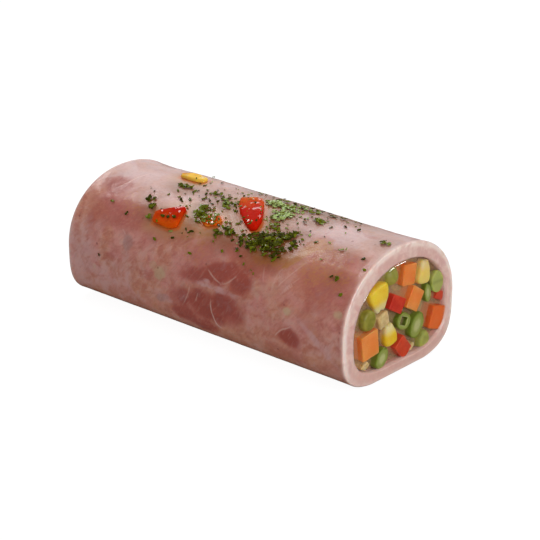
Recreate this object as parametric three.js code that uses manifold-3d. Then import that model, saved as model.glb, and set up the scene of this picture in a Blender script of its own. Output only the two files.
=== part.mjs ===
// A log of cooked ham and vegetables: a D-shaped wall of ham, filled from end to end with diced
// vegetables set in clear aspic, and dressed along its crown with red pepper and chopped parsley.
//
// Lengths are millimetres and angles in the tables are degrees. X runs along the log, Y across it
// and Z up from the surface it lies on. The origin is the middle of the underside, and the cut
// faces stand at X = LENGTH / 2 and X = -LENGTH / 2.
//
// The aspic is as clear as glass just behind a cut, so the set filling starts ASPIC_DEPTH behind
// it and the vegetables stand out of the filling, as far as they show in the real food.

import * as THREE from "three";
import { ConvexGeometry } from "three/addons/geometries/ConvexGeometry.js";
import { LoftGeometry } from "three/addons/geometries/LoftGeometry.js";
import { mergeVertices } from "three/addons/utils/BufferGeometryUtils.js";
import Module from "manifold-3d";

const wasm = await Module();
wasm.setup();
const { Manifold, Mesh: SolidMesh } = wasm;

// Driving dimensions
const LENGTH = 125;
const GAP = 0.35; // clearance between pieces that touch
const RIM_ROUND = 0.7; // softened outer edge of each cut
const ASPIC_DEPTH = 3; // clear aspic between a cut and the set filling
const ASPIC_FILM = 0.4; // aspic over the foremost vegetables

// Two outlines across the log: a dome above the waist and a squarer foot below it.
const HAM = {
  centre: 0, halfWidth: 28.5, bottom: 0, waist: 19.2, top: 43.5,
  domePower: 2.12, footPower: 3.6, pressed: 0.4,
};
const OPENING = {
  centre: 1, halfWidth: 24.4, bottom: 3.5, waist: 18, top: 38,
  domePower: 2.05, footPower: 3.3, pressed: 0.2,
};

// Mesh density
const AROUND = 64;
const SKIN_STATIONS = 14;
const RIM_STEPS = 3;

// Vegetables at a cut. across and up are measured on the face as seen from the side that
// carries the peppers, deep is how far the middle lies behind the cut, size is depth by width by
// height, and spin turns the piece in the face. What lies near the wall or the cut is trimmed.
const SHOWN_CUT = [
  { kind: "carrot", across: 5.4, up: 31.9, deep: 3.9, size: [7.6, 6.8, 7.4], spin: -9 },
  { kind: "carrot", across: 8.6, up: 22.5, deep: 3.9, size: [8, 7.4, 8], spin: -32 },
  { kind: "carrot", across: 21.4, up: 11.9, deep: 3.9, size: [8, 8.4, 8.4], spin: -20 },
  { kind: "carrot", across: -14.1, up: 13.5, deep: 4.1, size: [8.4, 8.6, 9], spin: 6 },
  { kind: "pepper", across: -0.6, up: 23.5, deep: 2.9, size: [6, 7.4, 5.8], spin: -31 },
  { kind: "pepper", across: 3.1, up: 7.3, deep: 2.9, size: [6, 7.8, 6], spin: -50 },
  { kind: "pepper", across: 23.4, up: 18.8, deep: 3.8, size: [5, 5, 3.6], spin: -24 },
  { kind: "corn", across: -9, up: 27.9, deep: 2.4, size: [4.8, 9.4, 9.6], spin: 10 },
  { kind: "corn", across: -3.1, up: 13.5, deep: 2.3, size: [4.4, 6.4, 7.6], spin: -170 },
  { kind: "corn", across: 14, up: 30, deep: 2.4, size: [4.6, 6.8, 8.2], spin: 172 },
  { kind: "pea", across: -2, up: 33, deep: 4, size: [7, 6.8, 7.2], spin: 0 },
  { kind: "pea", across: 20.4, up: 24.9, deep: 1, size: [7.4, 6.2, 7.8], spin: 12 },
  { kind: "pea", across: -14.6, up: 22, deep: 2.4, size: [7.2, 7, 7.2], spin: 0 },
  { kind: "pea", across: 14.6, up: 5.8, deep: 2.6, size: [7, 5.6, 7], spin: -16 },
  { kind: "bean", across: 9.9, up: 12.8, deep: 3.9, size: [8, 6.2, 9.2], spin: -28 },
  { kind: "bean", across: -8.2, up: 7.1, deep: 3.9, size: [8, 5.2, 7.6], spin: -42 },
  { kind: "bean", across: 15.9, up: 22.2, deep: 3.9, size: [6, 3.4, 6.6], spin: 12 },
  { kind: "hollow_bean", across: 3.4, up: 16.2, deep: 3.9, size: [6, 7.2, 6], spin: -24 },
  { kind: "turnip", across: -6.6, up: 19.6, deep: 3.8, size: [6, 5.4, 5.4], spin: 18 },
  { kind: "turnip", across: -15.6, up: 6.6, deep: 3.4, size: [5, 4, 3], spin: 30 },
  { kind: "turnip", across: 8.9, up: 5.2, deep: 3.6, size: [5, 2.4, 3.4], spin: -50 },
];
const HIDDEN_CUT = [
  { kind: "carrot", across: -12.6, up: 28.2, deep: 3.9, size: [8, 8.2, 7.8], spin: 24 },
  { kind: "carrot", across: 10.4, up: 11.4, deep: 3.9, size: [8, 8, 8.4], spin: -14 },
  { kind: "carrot", across: 16.8, up: 24.6, deep: 3.9, size: [8, 7.6, 8], spin: 33 },
  { kind: "pepper", across: -17.2, up: 16.4, deep: 2.9, size: [6, 7, 6.6], spin: -12 },
  { kind: "pepper", across: 3.8, up: 32.1, deep: 2.9, size: [6, 7.2, 6], spin: 16 },
  { kind: "corn", across: -8.2, up: 18.4, deep: 2.4, size: [4.6, 7.8, 9.6], spin: -35 },
  { kind: "corn", across: 19.2, up: 14.4, deep: 2.4, size: [4.6, 6.8, 8.6], spin: 165 },
  { kind: "corn", across: 12.4, up: 31.2, deep: 2.4, size: [4.4, 5.6, 6.4], spin: 60 },
  { kind: "pea", across: -4.2, up: 28.8, deep: 1.9, size: [7.4, 7.2, 7], spin: 0 },
  { kind: "pea", across: 1.4, up: 9.6, deep: 2.2, size: [7.4, 7.2, 7.4], spin: 20 },
  { kind: "pea", across: 8.6, up: 21.4, deep: 1.4, size: [7.4, 7, 7.4], spin: 0 },
  { kind: "bean", across: -8.9, up: 8.8, deep: 3.9, size: [8, 6, 9], spin: 48 },
  { kind: "bean", across: 1.2, up: 19.4, deep: 3.9, size: [8, 5.4, 8.6], spin: 22 },
  { kind: "hollow_bean", across: -17.6, up: 8.8, deep: 3.9, size: [6, 6, 5.4], spin: 10 },
];

// Red pepper on the crown: the corners of each slice, counter-clockwise as seen from outside. A
// corner is along X and the distance round the skin from the crest, which grows towards -Y.
const TOPPINGS = [
  { thick: 1.3, corners: [[-27.6, 20], [-26.6, 24], [-18.8, 24.5], [-15.6, 23], [-17, 15.6], [-18.4, 14.9]] },
  {
    thick: 1.1,
    corners: [[-36.8, -3], [-35.6, -1.2], [-28, -0.6], [-25, -2], [-26, -5], [-31.4, -6.4], [-36, -5]],
  },
  {
    thick: 2,
    corners: [
      [-3.4, 2.9], [-0.9, 6.6], [3, 10.4], [8, 14], [12.4, 16.1],
      [14.2, 15], [13.1, 11], [10.4, 7.2], [5.6, 1.2], [2.8, -1.4],
    ],
  },
  {
    thick: 0.8,
    corners: [[-8.8, 17], [-7.4, 18.8], [-4.6, 19.6], [-1.4, 18.2], [-0.6, 15.6], [-2.4, 14.2], [-6.6, 15]],
  },
];
// The rings of a slice, from the middle of its underside round its edge to the middle of its top:
// the share of the reach from its middle, and of its thickness. Its underside is a touch hollow.
const SLICE_RINGS = [
  [0.12, 0], [0.55, 0.01], [1, 0.02], [1, 0.5], [0.93, 0.88], [0.55, 0.99], [0.15, 1],
];

// Chopped parsley on the crown, in clumps placed as the peppers are. reach is how far a clump
// spreads each way along and around, and size is the length of a flake.
const PARSLEY = [
  { at: [-33.8, 15.8], reach: [1.4, 0.8], count: 2, size: 2.6 },
  { at: [-31, 18.9], reach: [1, 1.2], count: 2, size: 2.8 },
  { at: [-29.4, 22.4], reach: [0.6, 1.4], count: 1, size: 2.2 },
  { at: [-27.5, 4.7], reach: [4, 0.9], count: 4, size: 2.3 },
  { at: [-12.5, 4.2], reach: [4.5, 1.6], count: 3, size: 1.9 },
  { at: [-5.6, 7.4], reach: [3, 3], count: 4, size: 1.9 },
  { at: [-11.4, 14.6], reach: [2, 3], count: 5, size: 2.1 },
  { at: [-10, 22.7], reach: [1.4, 0.6], count: 1, size: 1.8 },
  { at: [4.8, 19], reach: [5, 2.4], count: 4, size: 1.8 },
  { at: [8.6, -3], reach: [5, 2.6], count: 9, size: 2.2 },
  { at: [15.4, 4.2], reach: [4, 4], count: 8, size: 2.2 },
  { at: [17.4, -5], reach: [6.4, 1.6], count: 4, size: 1.8 },
  { at: [18.4, 10.8], reach: [3, 2], count: 3, size: 1.9 },
  { at: [26.6, 12.4], reach: [2.4, 1.6], count: 4, size: 2.4 },
  { at: [22.8, 18], reach: [8.6, 5], count: 18, size: 2.6 },
  { at: [28.5, 0.6], reach: [1.8, 1.3], count: 4, size: 2.4 },
  { at: [18, -8.2], reach: [27, 1.2], count: 6, size: 1.9 },
  { at: [47.6, 12.5], reach: [2.4, 0.8], count: 1, size: 1.9 },
  { at: [54, 22.9], reach: [0.4, 0.3], count: 1, size: 2.7 },
  { at: [57, 2.2], reach: [2, 0.8], count: 2, size: 2.3 },
];
const FLAKE_SIDES = 4;
const FLAKE_RISE = 0.55; // how far a flake stands out of the skin
const FLAKE_SUNK = 0.4; // how far it reaches below the skin

const COLOURS = {
  ham: 0xc98d86, filling: 0x9a7a5e, carrot: 0xd97a2e, pepper: 0xc0392b, corn: 0xe0bf3a,
  pea: 0x8f9a3c, bean: 0x93a95a, hollow_bean: 0x84863c, turnip: 0xbfae88, topping: 0xd0451b,
};

// A repeatable draw between 0 and 1 for an item and one of its features.
function draw(item, feature) {
  const value = Math.sin(item * 12.9898 + feature * 78.233) * 43758.5453;
  return value - Math.floor(value);
}

const signedPower = (value, power) => Math.sign(value) * Math.abs(value) ** power;

// A closed outline across the log, from the crest round by -Y, set in from its shape by inset.
class LogOutline extends THREE.Curve {
  constructor(shape, inset = 0) {
    super();
    this.shape = shape;
    this.inset = inset;
    this.arcLengthDivisions = 2000;
  }

  getPoint(t, target = new THREE.Vector3()) {
    const { centre, halfWidth, bottom, waist, top, domePower, footPower, pressed } = this.shape;
    const angle = Math.PI * (0.5 + 2 * t);
    const onDome = Math.sin(angle) >= 0;
    const power = 2 / (onDome ? domePower : footPower);
    const rise = onDome ? top - this.inset - waist : waist - bottom - this.inset + pressed;
    return target.set(
      0,
      centre + (halfWidth - this.inset) * signedPower(Math.cos(angle), power),
      Math.max(waist + rise * signedPower(Math.sin(angle), power), bottom + this.inset),
    );
  }

  // The outline's points in order at one place along the log, without repeating the first.
  ring(along) {
    return this.getSpacedPoints(AROUND).slice(0, AROUND).map((point) => point.setX(along));
  }
}

// A closed geometry as a solid that can be joined and cut, and back.
function solidOf(geometry) {
  const bare = new THREE.BufferGeometry();
  bare.setAttribute("position", geometry.getAttribute("position"));
  bare.setIndex(geometry.getIndex());
  const merged = mergeVertices(bare, 1e-4);
  return new Manifold(
    new SolidMesh({
      numProp: 3,
      vertProperties: merged.getAttribute("position").array,
      triVerts: new Uint32Array(merged.getIndex().array),
    }),
  );
}

function geometryOf(solid) {
  const { vertProperties, triVerts } = solid.getMesh();
  const geometry = new THREE.BufferGeometry();
  geometry.setAttribute("position", new THREE.BufferAttribute(vertProperties, 3));
  geometry.setIndex(new THREE.BufferAttribute(triVerts, 1));
  const faceted = geometry.toNonIndexed();
  faceted.computeVertexNormals();
  return faceted;
}

function meshOf(name, geometry, colour, roughness = 0.35) {
  const material = new THREE.MeshStandardMaterial({ color: colour, roughness, metalness: 0 });
  const mesh = new THREE.Mesh(geometry, material);
  mesh.name = name;
  return mesh;
}

// The ham's skin
const hamOutline = new LogOutline(HAM);
const skinLength = hamOutline.getLength();

// How far the skin stands in or out of its plain outline, fading out on the underside and rims.
function ripple(along, point) {
  const turn = Math.atan2(point.z - HAM.waist, point.y);
  const waves =
    Math.sin(2 * turn + along / 15) +
    0.7 * Math.sin(3 * turn - along / 9 + 1.3) +
    0.5 * Math.sin(5 * turn + along / 6.5 + 2.1);
  const offBase = THREE.MathUtils.smoothstep(point.z, 1, 10);
  const offRims = THREE.MathUtils.smoothstep(LENGTH / 2 - Math.abs(along), RIM_ROUND, 12);
  return 0.16 * waves * offBase * offRims;
}

// A place on the skin as a frame: X along the log, Z straight out of the skin.
function skinFrame(along, around) {
  const share = THREE.MathUtils.euclideanModulo(around / skinLength, 1);
  const alongAxis = new THREE.Vector3(1, 0, 0);
  const aroundAxis = hamOutline.getTangentAt(share);
  const out = new THREE.Vector3().crossVectors(aroundAxis, alongAxis);
  const point = hamOutline.getPointAt(share).setX(along);
  point.addScaledVector(out, ripple(along, point));
  const frame = new THREE.Matrix4().makeBasis(alongAxis, aroundAxis.negate(), out);
  return frame.setPosition(point);
}

const skinPoint = (along, around, height) =>
  new THREE.Vector3(0, 0, height).applyMatrix4(skinFrame(along, around));

// The rings of the outer skin from one cut to the other, with a quarter-round at each rim.
function skinRings() {
  const rims = [];
  for (let i = 0; i < RIM_STEPS; i++) {
    const angle = (Math.PI / 2) * (i / RIM_STEPS);
    const inset = RIM_ROUND * (1 - Math.sin(angle));
    const along = LENGTH / 2 - RIM_ROUND * (1 - Math.cos(angle));
    rims.push({ inset, along });
  }
  const body = LENGTH / 2 - RIM_ROUND;
  const rings = rims.map(({ inset, along }) => new LogOutline(HAM, inset).ring(-along));
  for (let i = 0; i <= SKIN_STATIONS; i++) {
    const along = THREE.MathUtils.lerp(-body, body, i / SKIN_STATIONS);
    rings.push(
      Array.from({ length: AROUND }, (_, k) => skinPoint(along, (k / AROUND) * skinLength, 0)),
    );
  }
  rims.reverse().forEach(({ inset, along }) => rings.push(new LogOutline(HAM, inset).ring(along)));
  return rings;
}

// The wall of ham: the skin outside, the straight opening inside and a cut face at each end.
function hamWall() {
  const outer = skinRings();
  const opening = new LogOutline(OPENING);
  const inner = [opening.ring(LENGTH / 2), opening.ring(-LENGTH / 2)];
  return solidOf(new LoftGeometry([...outer, ...inner, outer[0]]));
}

// A straight prism of the opening's outline, clear of the ham by GAP. centre is its place across.
function openingPrism(low, high, centre) {
  const outline = new LogOutline({ ...OPENING, centre }, GAP);
  const rings = [outline.ring(low), outline.ring(high)];
  return solidOf(new LoftGeometry(rings, { capStart: true, capEnd: true }));
}

// Vegetable shapes, each about its own middle, for a size of depth (X), width (Y) and height (Z)

// A knife-cut cube with unequal corners and its edges just broken.
function dice([depth, width, height], seed) {
  const broken = 0.35;
  const half = [depth / 2, width / 2, height / 2];
  const points = [];
  for (let corner = 0; corner < 8; corner++) {
    const place = half.map((h, axis) => {
      const side = (corner >> axis) & 1 ? 1 : -1;
      return { side, reach: h - 0.5 * draw(seed + corner, axis) };
    });
    for (let face = 0; face < 3; face++) {
      const coords = place.map(({ side, reach }, axis) => side * (reach - (axis === face ? 0 : broken)));
      points.push(new THREE.Vector3(...coords));
    }
  }
  return new ConvexGeometry(points);
}

function pea([depth, width, height]) {
  return new THREE.IcosahedronGeometry(0.5, 2).scale(depth, width, height);
}

// Oval sections threaded along Z: stations give the height share and the width share there.
function ovalLoft([depth, width, height], stations, sides = 12) {
  const rings = stations.map(([heightShare, widthShare]) =>
    Array.from({ length: sides }, (_, k) => {
      const angle = (2 * Math.PI * k) / sides;
      return new THREE.Vector3(
        (depth / 2) * widthShare * Math.cos(angle),
        (width / 2) * widthShare * Math.sin(angle),
        height * (heightShare - 0.5),
      );
    }),
  );
  return new LoftGeometry(rings, { capStart: true, capEnd: true });
}

// A kernel of sweetcorn: a narrow root end below, a full rounded crown above.
const corn = (size) =>
  ovalLoft(size, [[0, 0.44], [0.1, 0.6], [0.4, 0.88], [0.7, 1], [0.88, 0.9], [0.97, 0.6], [1, 0.28]]);

// A slice of green bean: an oval disc as deep as the slice is thick.
function bean([depth, width, height]) {
  const edge = 0.06;
  const disc = ovalLoft([height, width, depth], [[0, 0.86], [edge, 1], [1 - edge, 1], [1, 0.86]], 14);
  return disc.rotateY(Math.PI / 2);
}

const HOLE_SHARE = 0.48; // how much of a hollow bean's width and height its hole takes

// A bean slice whose seed has dropped out, which leaves a squarish hole right through.
function hollowBean([depth, width, height]) {
  const hole = new THREE.BoxGeometry(depth * 2, width * HOLE_SHARE, height * HOLE_SHARE);
  return geometryOf(solidOf(bean([depth, width, height])).subtract(solidOf(hole)));
}

const SHAPES = { carrot: dice, pepper: dice, turnip: dice, corn, pea, bean, hollow_bean: hollowBean };

// One vegetable in the frame of its cut, and the pocket that it takes up in the filling.
function vegetable(row, seed, channel) {
  const place = new THREE.Object3D();
  place.position.set(-row.deep, row.across, row.up);
  place.rotation.x = THREE.MathUtils.degToRad(row.spin);
  place.updateMatrix();
  const grown = row.size.map((length) => length + 2 * GAP);
  const pocketShape = row.kind === "hollow_bean" ? bean : SHAPES[row.kind];
  const pocket = solidOf(pocketShape(grown, seed)).transform(place.matrix.elements);
  const trim = channel.transform(place.matrix.clone().invert().elements);
  const solid = solidOf(SHAPES[row.kind](row.size, seed)).intersect(trim);
  return { place, pocket, solid };
}

// All vegetables of one cut as a group at that cut, and their pockets in the log's frame.
function cutFace(name, rows, side) {
  const group = new THREE.Group();
  group.position.x = side * (LENGTH / 2);
  group.rotation.z = side > 0 ? 0 : Math.PI;
  group.updateMatrix();
  const channel = openingPrism(-3 * ASPIC_DEPTH - 3, -ASPIC_FILM, side * OPENING.centre);
  const counts = {};
  const pockets = rows.map((row, i) => {
    counts[row.kind] = (counts[row.kind] ?? 0) + 1;
    const { place, pocket, solid } = vegetable(row, 31 * (i + 1), channel);
    const mesh = meshOf(`${name}_${row.kind}_${counts[row.kind]}`, geometryOf(solid), COLOURS[row.kind]);
    mesh.position.copy(place.position);
    mesh.rotation.copy(place.rotation);
    group.add(mesh);
    return pocket.transform(group.matrix.elements);
  });
  return { group, pockets };
}

// A slice of pepper with softened edges, made flat and then bent onto the skin.
function pepperSlice({ corners, thick }) {
  const outline = corners.map((corner) => new THREE.Vector2(...corner));
  const middle = new THREE.Vector2();
  outline.forEach((corner) => middle.addScaledVector(corner, 1 / outline.length));
  const edge = outline.flatMap((corner, i) => {
    const next = outline[(i + 1) % outline.length];
    return [corner, corner.clone().lerp(next, 0.5)];
  });
  const sections = SLICE_RINGS.map(([reach, lift]) =>
    edge.map((point) => {
      const place = middle.clone().lerp(point, reach);
      return new THREE.Vector3(place.x, -place.y, GAP + lift * thick);
    }),
  );
  const slice = new LoftGeometry(sections, { capStart: true, capEnd: true });
  const places = slice.getAttribute("position");
  for (let i = 0; i < places.count; i++) {
    places.setXYZ(i, ...skinPoint(places.getX(i), -places.getY(i), places.getZ(i)));
  }
  return slice;
}

// Whether a place on the skin is under a slice of pepper or nearer to it than margin.
function underTopping(along, around, margin) {
  return TOPPINGS.some(({ corners }) =>
    corners.every(([x, s], i) => {
      const [nextX, nextS] = corners[(i + 1) % corners.length];
      const outside = (nextX - x) * (around - s) - (nextS - s) * (along - x);
      return outside < margin * Math.hypot(nextX - x, nextS - s);
    }),
  );
}

// The parsley flakes as solids that reach through the skin, clear of the peppers.
function parsleyFlakes() {
  const flakes = [];
  PARSLEY.forEach(({ at, reach, count, size }, clump) => {
    for (let i = 0; i < count; i++) {
      const item = 100 * (clump + 1) + i;
      const along = at[0] + reach[0] * (draw(item, 1) + draw(item, 2) - 1);
      const around = at[1] + reach[1] * (draw(item, 3) + draw(item, 4) - 1);
      const length = size * (0.7 + 0.5 * draw(item, 5));
      const width = length * (0.45 + 0.3 * draw(item, 6));
      if (underTopping(along, around, length / 2 + GAP)) continue;
      const tall = FLAKE_RISE * (0.7 + 0.8 * draw(item, 7)) + FLAKE_SUNK;
      const flake = new THREE.CylinderGeometry(0.36, 0.5, 1, FLAKE_SIDES);
      flake.rotateX(Math.PI / 2);
      flake.scale(length, width, tall);
      flake.rotateZ(2 * Math.PI * draw(item, 8));
      flake.translate(0, 0, tall / 2 - FLAKE_SUNK);
      flakes.push(solidOf(flake.applyMatrix4(skinFrame(along, around))));
    }
  });
  return flakes;
}

function hamAndVegetableLog() {
  const log = new THREE.Group();
  const ham = Manifold.union([hamWall(), ...parsleyFlakes()]);
  log.add(meshOf("ham_wall", geometryOf(ham), COLOURS.ham));

  const shown = cutFace("near", SHOWN_CUT, 1);
  const hidden = cutFace("far", HIDDEN_CUT, -1);
  const reach = LENGTH / 2 - ASPIC_DEPTH;
  const filling = openingPrism(-reach, reach, OPENING.centre).subtract(
    Manifold.union([...shown.pockets, ...hidden.pockets]),
  );
  log.add(meshOf("aspic_filling", geometryOf(filling), COLOURS.filling, 0.25));
  log.add(shown.group, hidden.group);

  TOPPINGS.forEach((slice, i) => {
    log.add(meshOf(`topping_pepper_${i + 1}`, pepperSlice(slice), COLOURS.topping, 0.2));
  });
  return log;
}

export default hamAndVegetableLog();
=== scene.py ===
# Looks of the ham and vegetable log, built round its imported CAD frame.
# Lengths in the tables are millimetres and angles are degrees. X runs along the log, Y across it
# and Z up, as in the frame; pieces are written in metres.
import math

import bpy
import numpy as np
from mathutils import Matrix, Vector, noise


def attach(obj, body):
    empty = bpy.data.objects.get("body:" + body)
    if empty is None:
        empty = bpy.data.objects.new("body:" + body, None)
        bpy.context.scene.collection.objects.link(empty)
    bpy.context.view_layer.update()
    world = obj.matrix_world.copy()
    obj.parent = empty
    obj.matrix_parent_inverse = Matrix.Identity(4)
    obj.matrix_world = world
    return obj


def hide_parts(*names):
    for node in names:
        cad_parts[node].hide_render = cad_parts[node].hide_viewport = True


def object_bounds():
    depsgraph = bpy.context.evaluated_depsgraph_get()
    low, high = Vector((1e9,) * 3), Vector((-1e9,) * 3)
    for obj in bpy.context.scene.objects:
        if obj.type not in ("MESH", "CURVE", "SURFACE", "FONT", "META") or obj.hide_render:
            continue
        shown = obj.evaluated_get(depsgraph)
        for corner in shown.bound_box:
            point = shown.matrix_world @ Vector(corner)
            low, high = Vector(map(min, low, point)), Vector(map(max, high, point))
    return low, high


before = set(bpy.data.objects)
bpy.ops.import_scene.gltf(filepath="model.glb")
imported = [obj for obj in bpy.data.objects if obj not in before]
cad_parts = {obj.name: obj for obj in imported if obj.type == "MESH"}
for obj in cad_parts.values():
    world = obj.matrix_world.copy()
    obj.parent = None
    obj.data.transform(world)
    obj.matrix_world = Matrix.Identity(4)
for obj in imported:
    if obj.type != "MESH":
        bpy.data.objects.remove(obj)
cad_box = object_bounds()

MM = 0.001

# The log, as its solids have it
LENGTH = 125.0
RIM_ROUND = 0.7
ASPIC_FILM = 0.4
GAP = 0.35
HAM = dict(centre=0, half_width=28.5, bottom=0, waist=19.2, top=43.5, dome=2.12, foot=3.6, pressed=0.4)
OPENING = dict(
    centre=1, half_width=24.4, bottom=3.5, waist=18, top=38, dome=2.05, foot=3.3, pressed=0.2
)

# Vegetables at each cut: kind, across, up, deep, (depth, width, height), spin
SHOWN_CUT = [
    ("carrot", 5.4, 31.9, 3.9, (7.6, 6.8, 7.4), -9),
    ("carrot", 8.6, 22.5, 3.9, (8, 7.4, 8), -32),
    ("carrot", 21.4, 11.9, 3.9, (8, 8.4, 8.4), -20),
    ("carrot", -14.1, 13.5, 4.1, (8.4, 8.6, 9), 6),
    ("pepper", -0.6, 23.5, 2.9, (6, 7.4, 5.8), -31),
    ("pepper", 3.1, 7.3, 2.9, (6, 7.8, 6), -50),
    ("pepper", 23.4, 18.8, 3.8, (5, 5, 3.6), -24),
    ("corn", -9, 27.9, 2.4, (4.8, 9.4, 9.6), 10),
    ("corn", -3.1, 13.5, 2.3, (4.4, 6.4, 7.6), -170),
    ("corn", 14, 30, 2.4, (4.6, 6.8, 8.2), 172),
    ("pea", -2, 33, 4, (7, 6.8, 7.2), 0),
    ("pea", 20.4, 24.9, 1, (7.4, 6.2, 7.8), 12),
    ("pea", -14.6, 22, 2.4, (7.2, 7, 7.2), 0),
    ("pea", 14.6, 5.8, 2.6, (7, 5.6, 7), -16),
    ("bean", 9.9, 12.8, 3.9, (8, 6.2, 9.2), -28),
    ("bean", -8.2, 7.1, 3.9, (8, 5.2, 7.6), -42),
    ("bean", 15.9, 22.2, 3.9, (6, 3.4, 6.6), 12),
    ("hollow_bean", 3.4, 16.2, 3.9, (6, 7.2, 6), -24),
    ("turnip", -6.6, 19.6, 3.8, (6, 5.4, 5.4), 18),
    ("turnip", -15.6, 6.6, 3.4, (5, 4, 3), 30),
    ("turnip", 8.9, 5.2, 3.6, (5, 2.4, 3.4), -50),
]
HIDDEN_CUT = [
    ("carrot", -12.6, 28.2, 3.9, (8, 8.2, 7.8), 24),
    ("carrot", 10.4, 11.4, 3.9, (8, 8, 8.4), -14),
    ("carrot", 16.8, 24.6, 3.9, (8, 7.6, 8), 33),
    ("pepper", -17.2, 16.4, 2.9, (6, 7, 6.6), -12),
    ("pepper", 3.8, 32.1, 2.9, (6, 7.2, 6), 16),
    ("corn", -8.2, 18.4, 2.4, (4.6, 7.8, 9.6), -35),
    ("corn", 19.2, 14.4, 2.4, (4.6, 6.8, 8.6), 165),
    ("corn", 12.4, 31.2, 2.4, (4.4, 5.6, 6.4), 60),
    ("pea", -4.2, 28.8, 1.9, (7.4, 7.2, 7), 0),
    ("pea", 1.4, 9.6, 2.2, (7.4, 7.2, 7.4), 20),
    ("pea", 8.6, 21.4, 1.4, (7.4, 7, 7.4), 0),
    ("bean", -8.9, 8.8, 3.9, (8, 6, 9), 48),
    ("bean", 1.2, 19.4, 3.9, (8, 5.4, 8.6), 22),
    ("hollow_bean", -17.6, 8.8, 3.9, (6, 6, 5.4), 10),
]
# Pepper on the crown: thickness and corners, as (along, around from the crest towards -Y)
TOPPINGS = [
    (1.3, [(-27.6, 20), (-26.6, 24), (-18.8, 24.5), (-15.6, 23), (-17, 15.6), (-18.4, 14.9)]),
    (1.1, [(-36.8, -3), (-35.6, -1.2), (-28, -0.6), (-25, -2), (-26, -5), (-31.4, -6.4), (-36, -5)]),
    (2.0, [(-3.4, 2.9), (-0.9, 6.6), (3, 10.4), (8, 14), (12.4, 16.1),
           (14.2, 15), (13.1, 11), (10.4, 7.2), (5.6, 1.2), (2.8, -1.4)]),
    (0.8, [(-8.8, 17), (-7.4, 18.8), (-4.6, 19.6), (-1.4, 18.2), (-0.6, 15.6), (-2.4, 14.2), (-6.6, 15)]),
]
# How orange each pepper is in its middle, and how that changes along and around, a millimetre
TOPPING_TINTS = [(0.32, 0.0, 0.055), (0.92, 0.01, 0.0), (0.22, -0.03, -0.045), (0.6, 0.0, 0.0)]
# Parsley clumps, as fused on the solid: at, reach, count, size, and how bright the leaf is
PARSLEY = [
    ((-33.8, 15.8), (1.4, 0.8), 2, 2.6, 0.25),
    ((-31, 18.9), (1, 1.2), 2, 2.8, 0.15),
    ((-29.4, 22.4), (0.6, 1.4), 1, 2.2, 0.35),
    ((-27.5, 4.7), (4, 0.9), 4, 2.3, 0.35),
    ((-12.5, 4.2), (4.5, 1.6), 3, 1.9, 0.3),
    ((-5.6, 7.4), (3, 3), 4, 1.9, 0.4),
    ((-11.4, 14.6), (2, 3), 5, 2.1, 0.3),
    ((-10, 22.7), (1.4, 0.6), 1, 1.8, 0.2),
    ((4.8, 19), (5, 2.4), 4, 1.8, 0.25),
    ((8.6, -3), (5, 2.6), 9, 2.2, 0.75),
    ((15.4, 4.2), (4, 4), 8, 2.2, 0.75),
    ((17.4, -5), (6.4, 1.6), 4, 1.8, 0.6),
    ((18.4, 10.8), (3, 2), 3, 1.9, 0.4),
    ((26.6, 12.4), (2.4, 1.6), 4, 2.4, 0.2),
    ((22.8, 18), (8.6, 5), 18, 2.6, 0.12),
    ((28.5, 0.6), (1.8, 1.3), 4, 2.4, 0.4),
    ((18, -8.2), (27, 1.2), 6, 1.9, 0.3),
    ((47.6, 12.5), (2.4, 0.8), 1, 1.9, 0.35),
    ((54, 22.9), (0.4, 0.3), 1, 2.7, 0.2),
    ((57, 2.2), (2, 0.8), 2, 2.3, 0.3),
]
# Single scraps away from the clumps, as (along, around)
STRAYS = [
    (-22.9, 11.7), (-19.6, 10.8), (-30.6, -12.7), (-20.9, -6.5), (-14.4, 3.9), (-9.8, 5.3), (-9.6, 1.9),
    (-15.3, 26.9), (-22.5, 29.2), (1.5, 17.7), (-2.6, 14), (1.2, 15.7), (3.1, 17.6), (8.9, 19.2),
    (-5.6, 30), (12.1, 23.7), (7, 26), (-47.7, 21.3), (-38.9, 23.9), (-46.6, 40.8), (25.8, 4),
    (-22.8, 21.2), (-20.6, 20.9), (-18.2, 20.3), (-22, 17), (38.8, -0.9), (43.8, -1.6), (57.5, 13.2),
    (60.6, 17.1), (57.7, 27.4), (31.9, 14.2), (32.4, 16.8),
]
# Heaps of scraps too fine for the solid: at, reach, count, size and how bright the leaf is
HEAPS = [
    ((-6, 16.4), (5, 4), 44, 1.2, 0.2), ((15.8, 20), (6.5, 2.6), 46, 1.6, 0.0),
    ((17, -2.5), (7, 2), 26, 1.1, 0.5),
]

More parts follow.
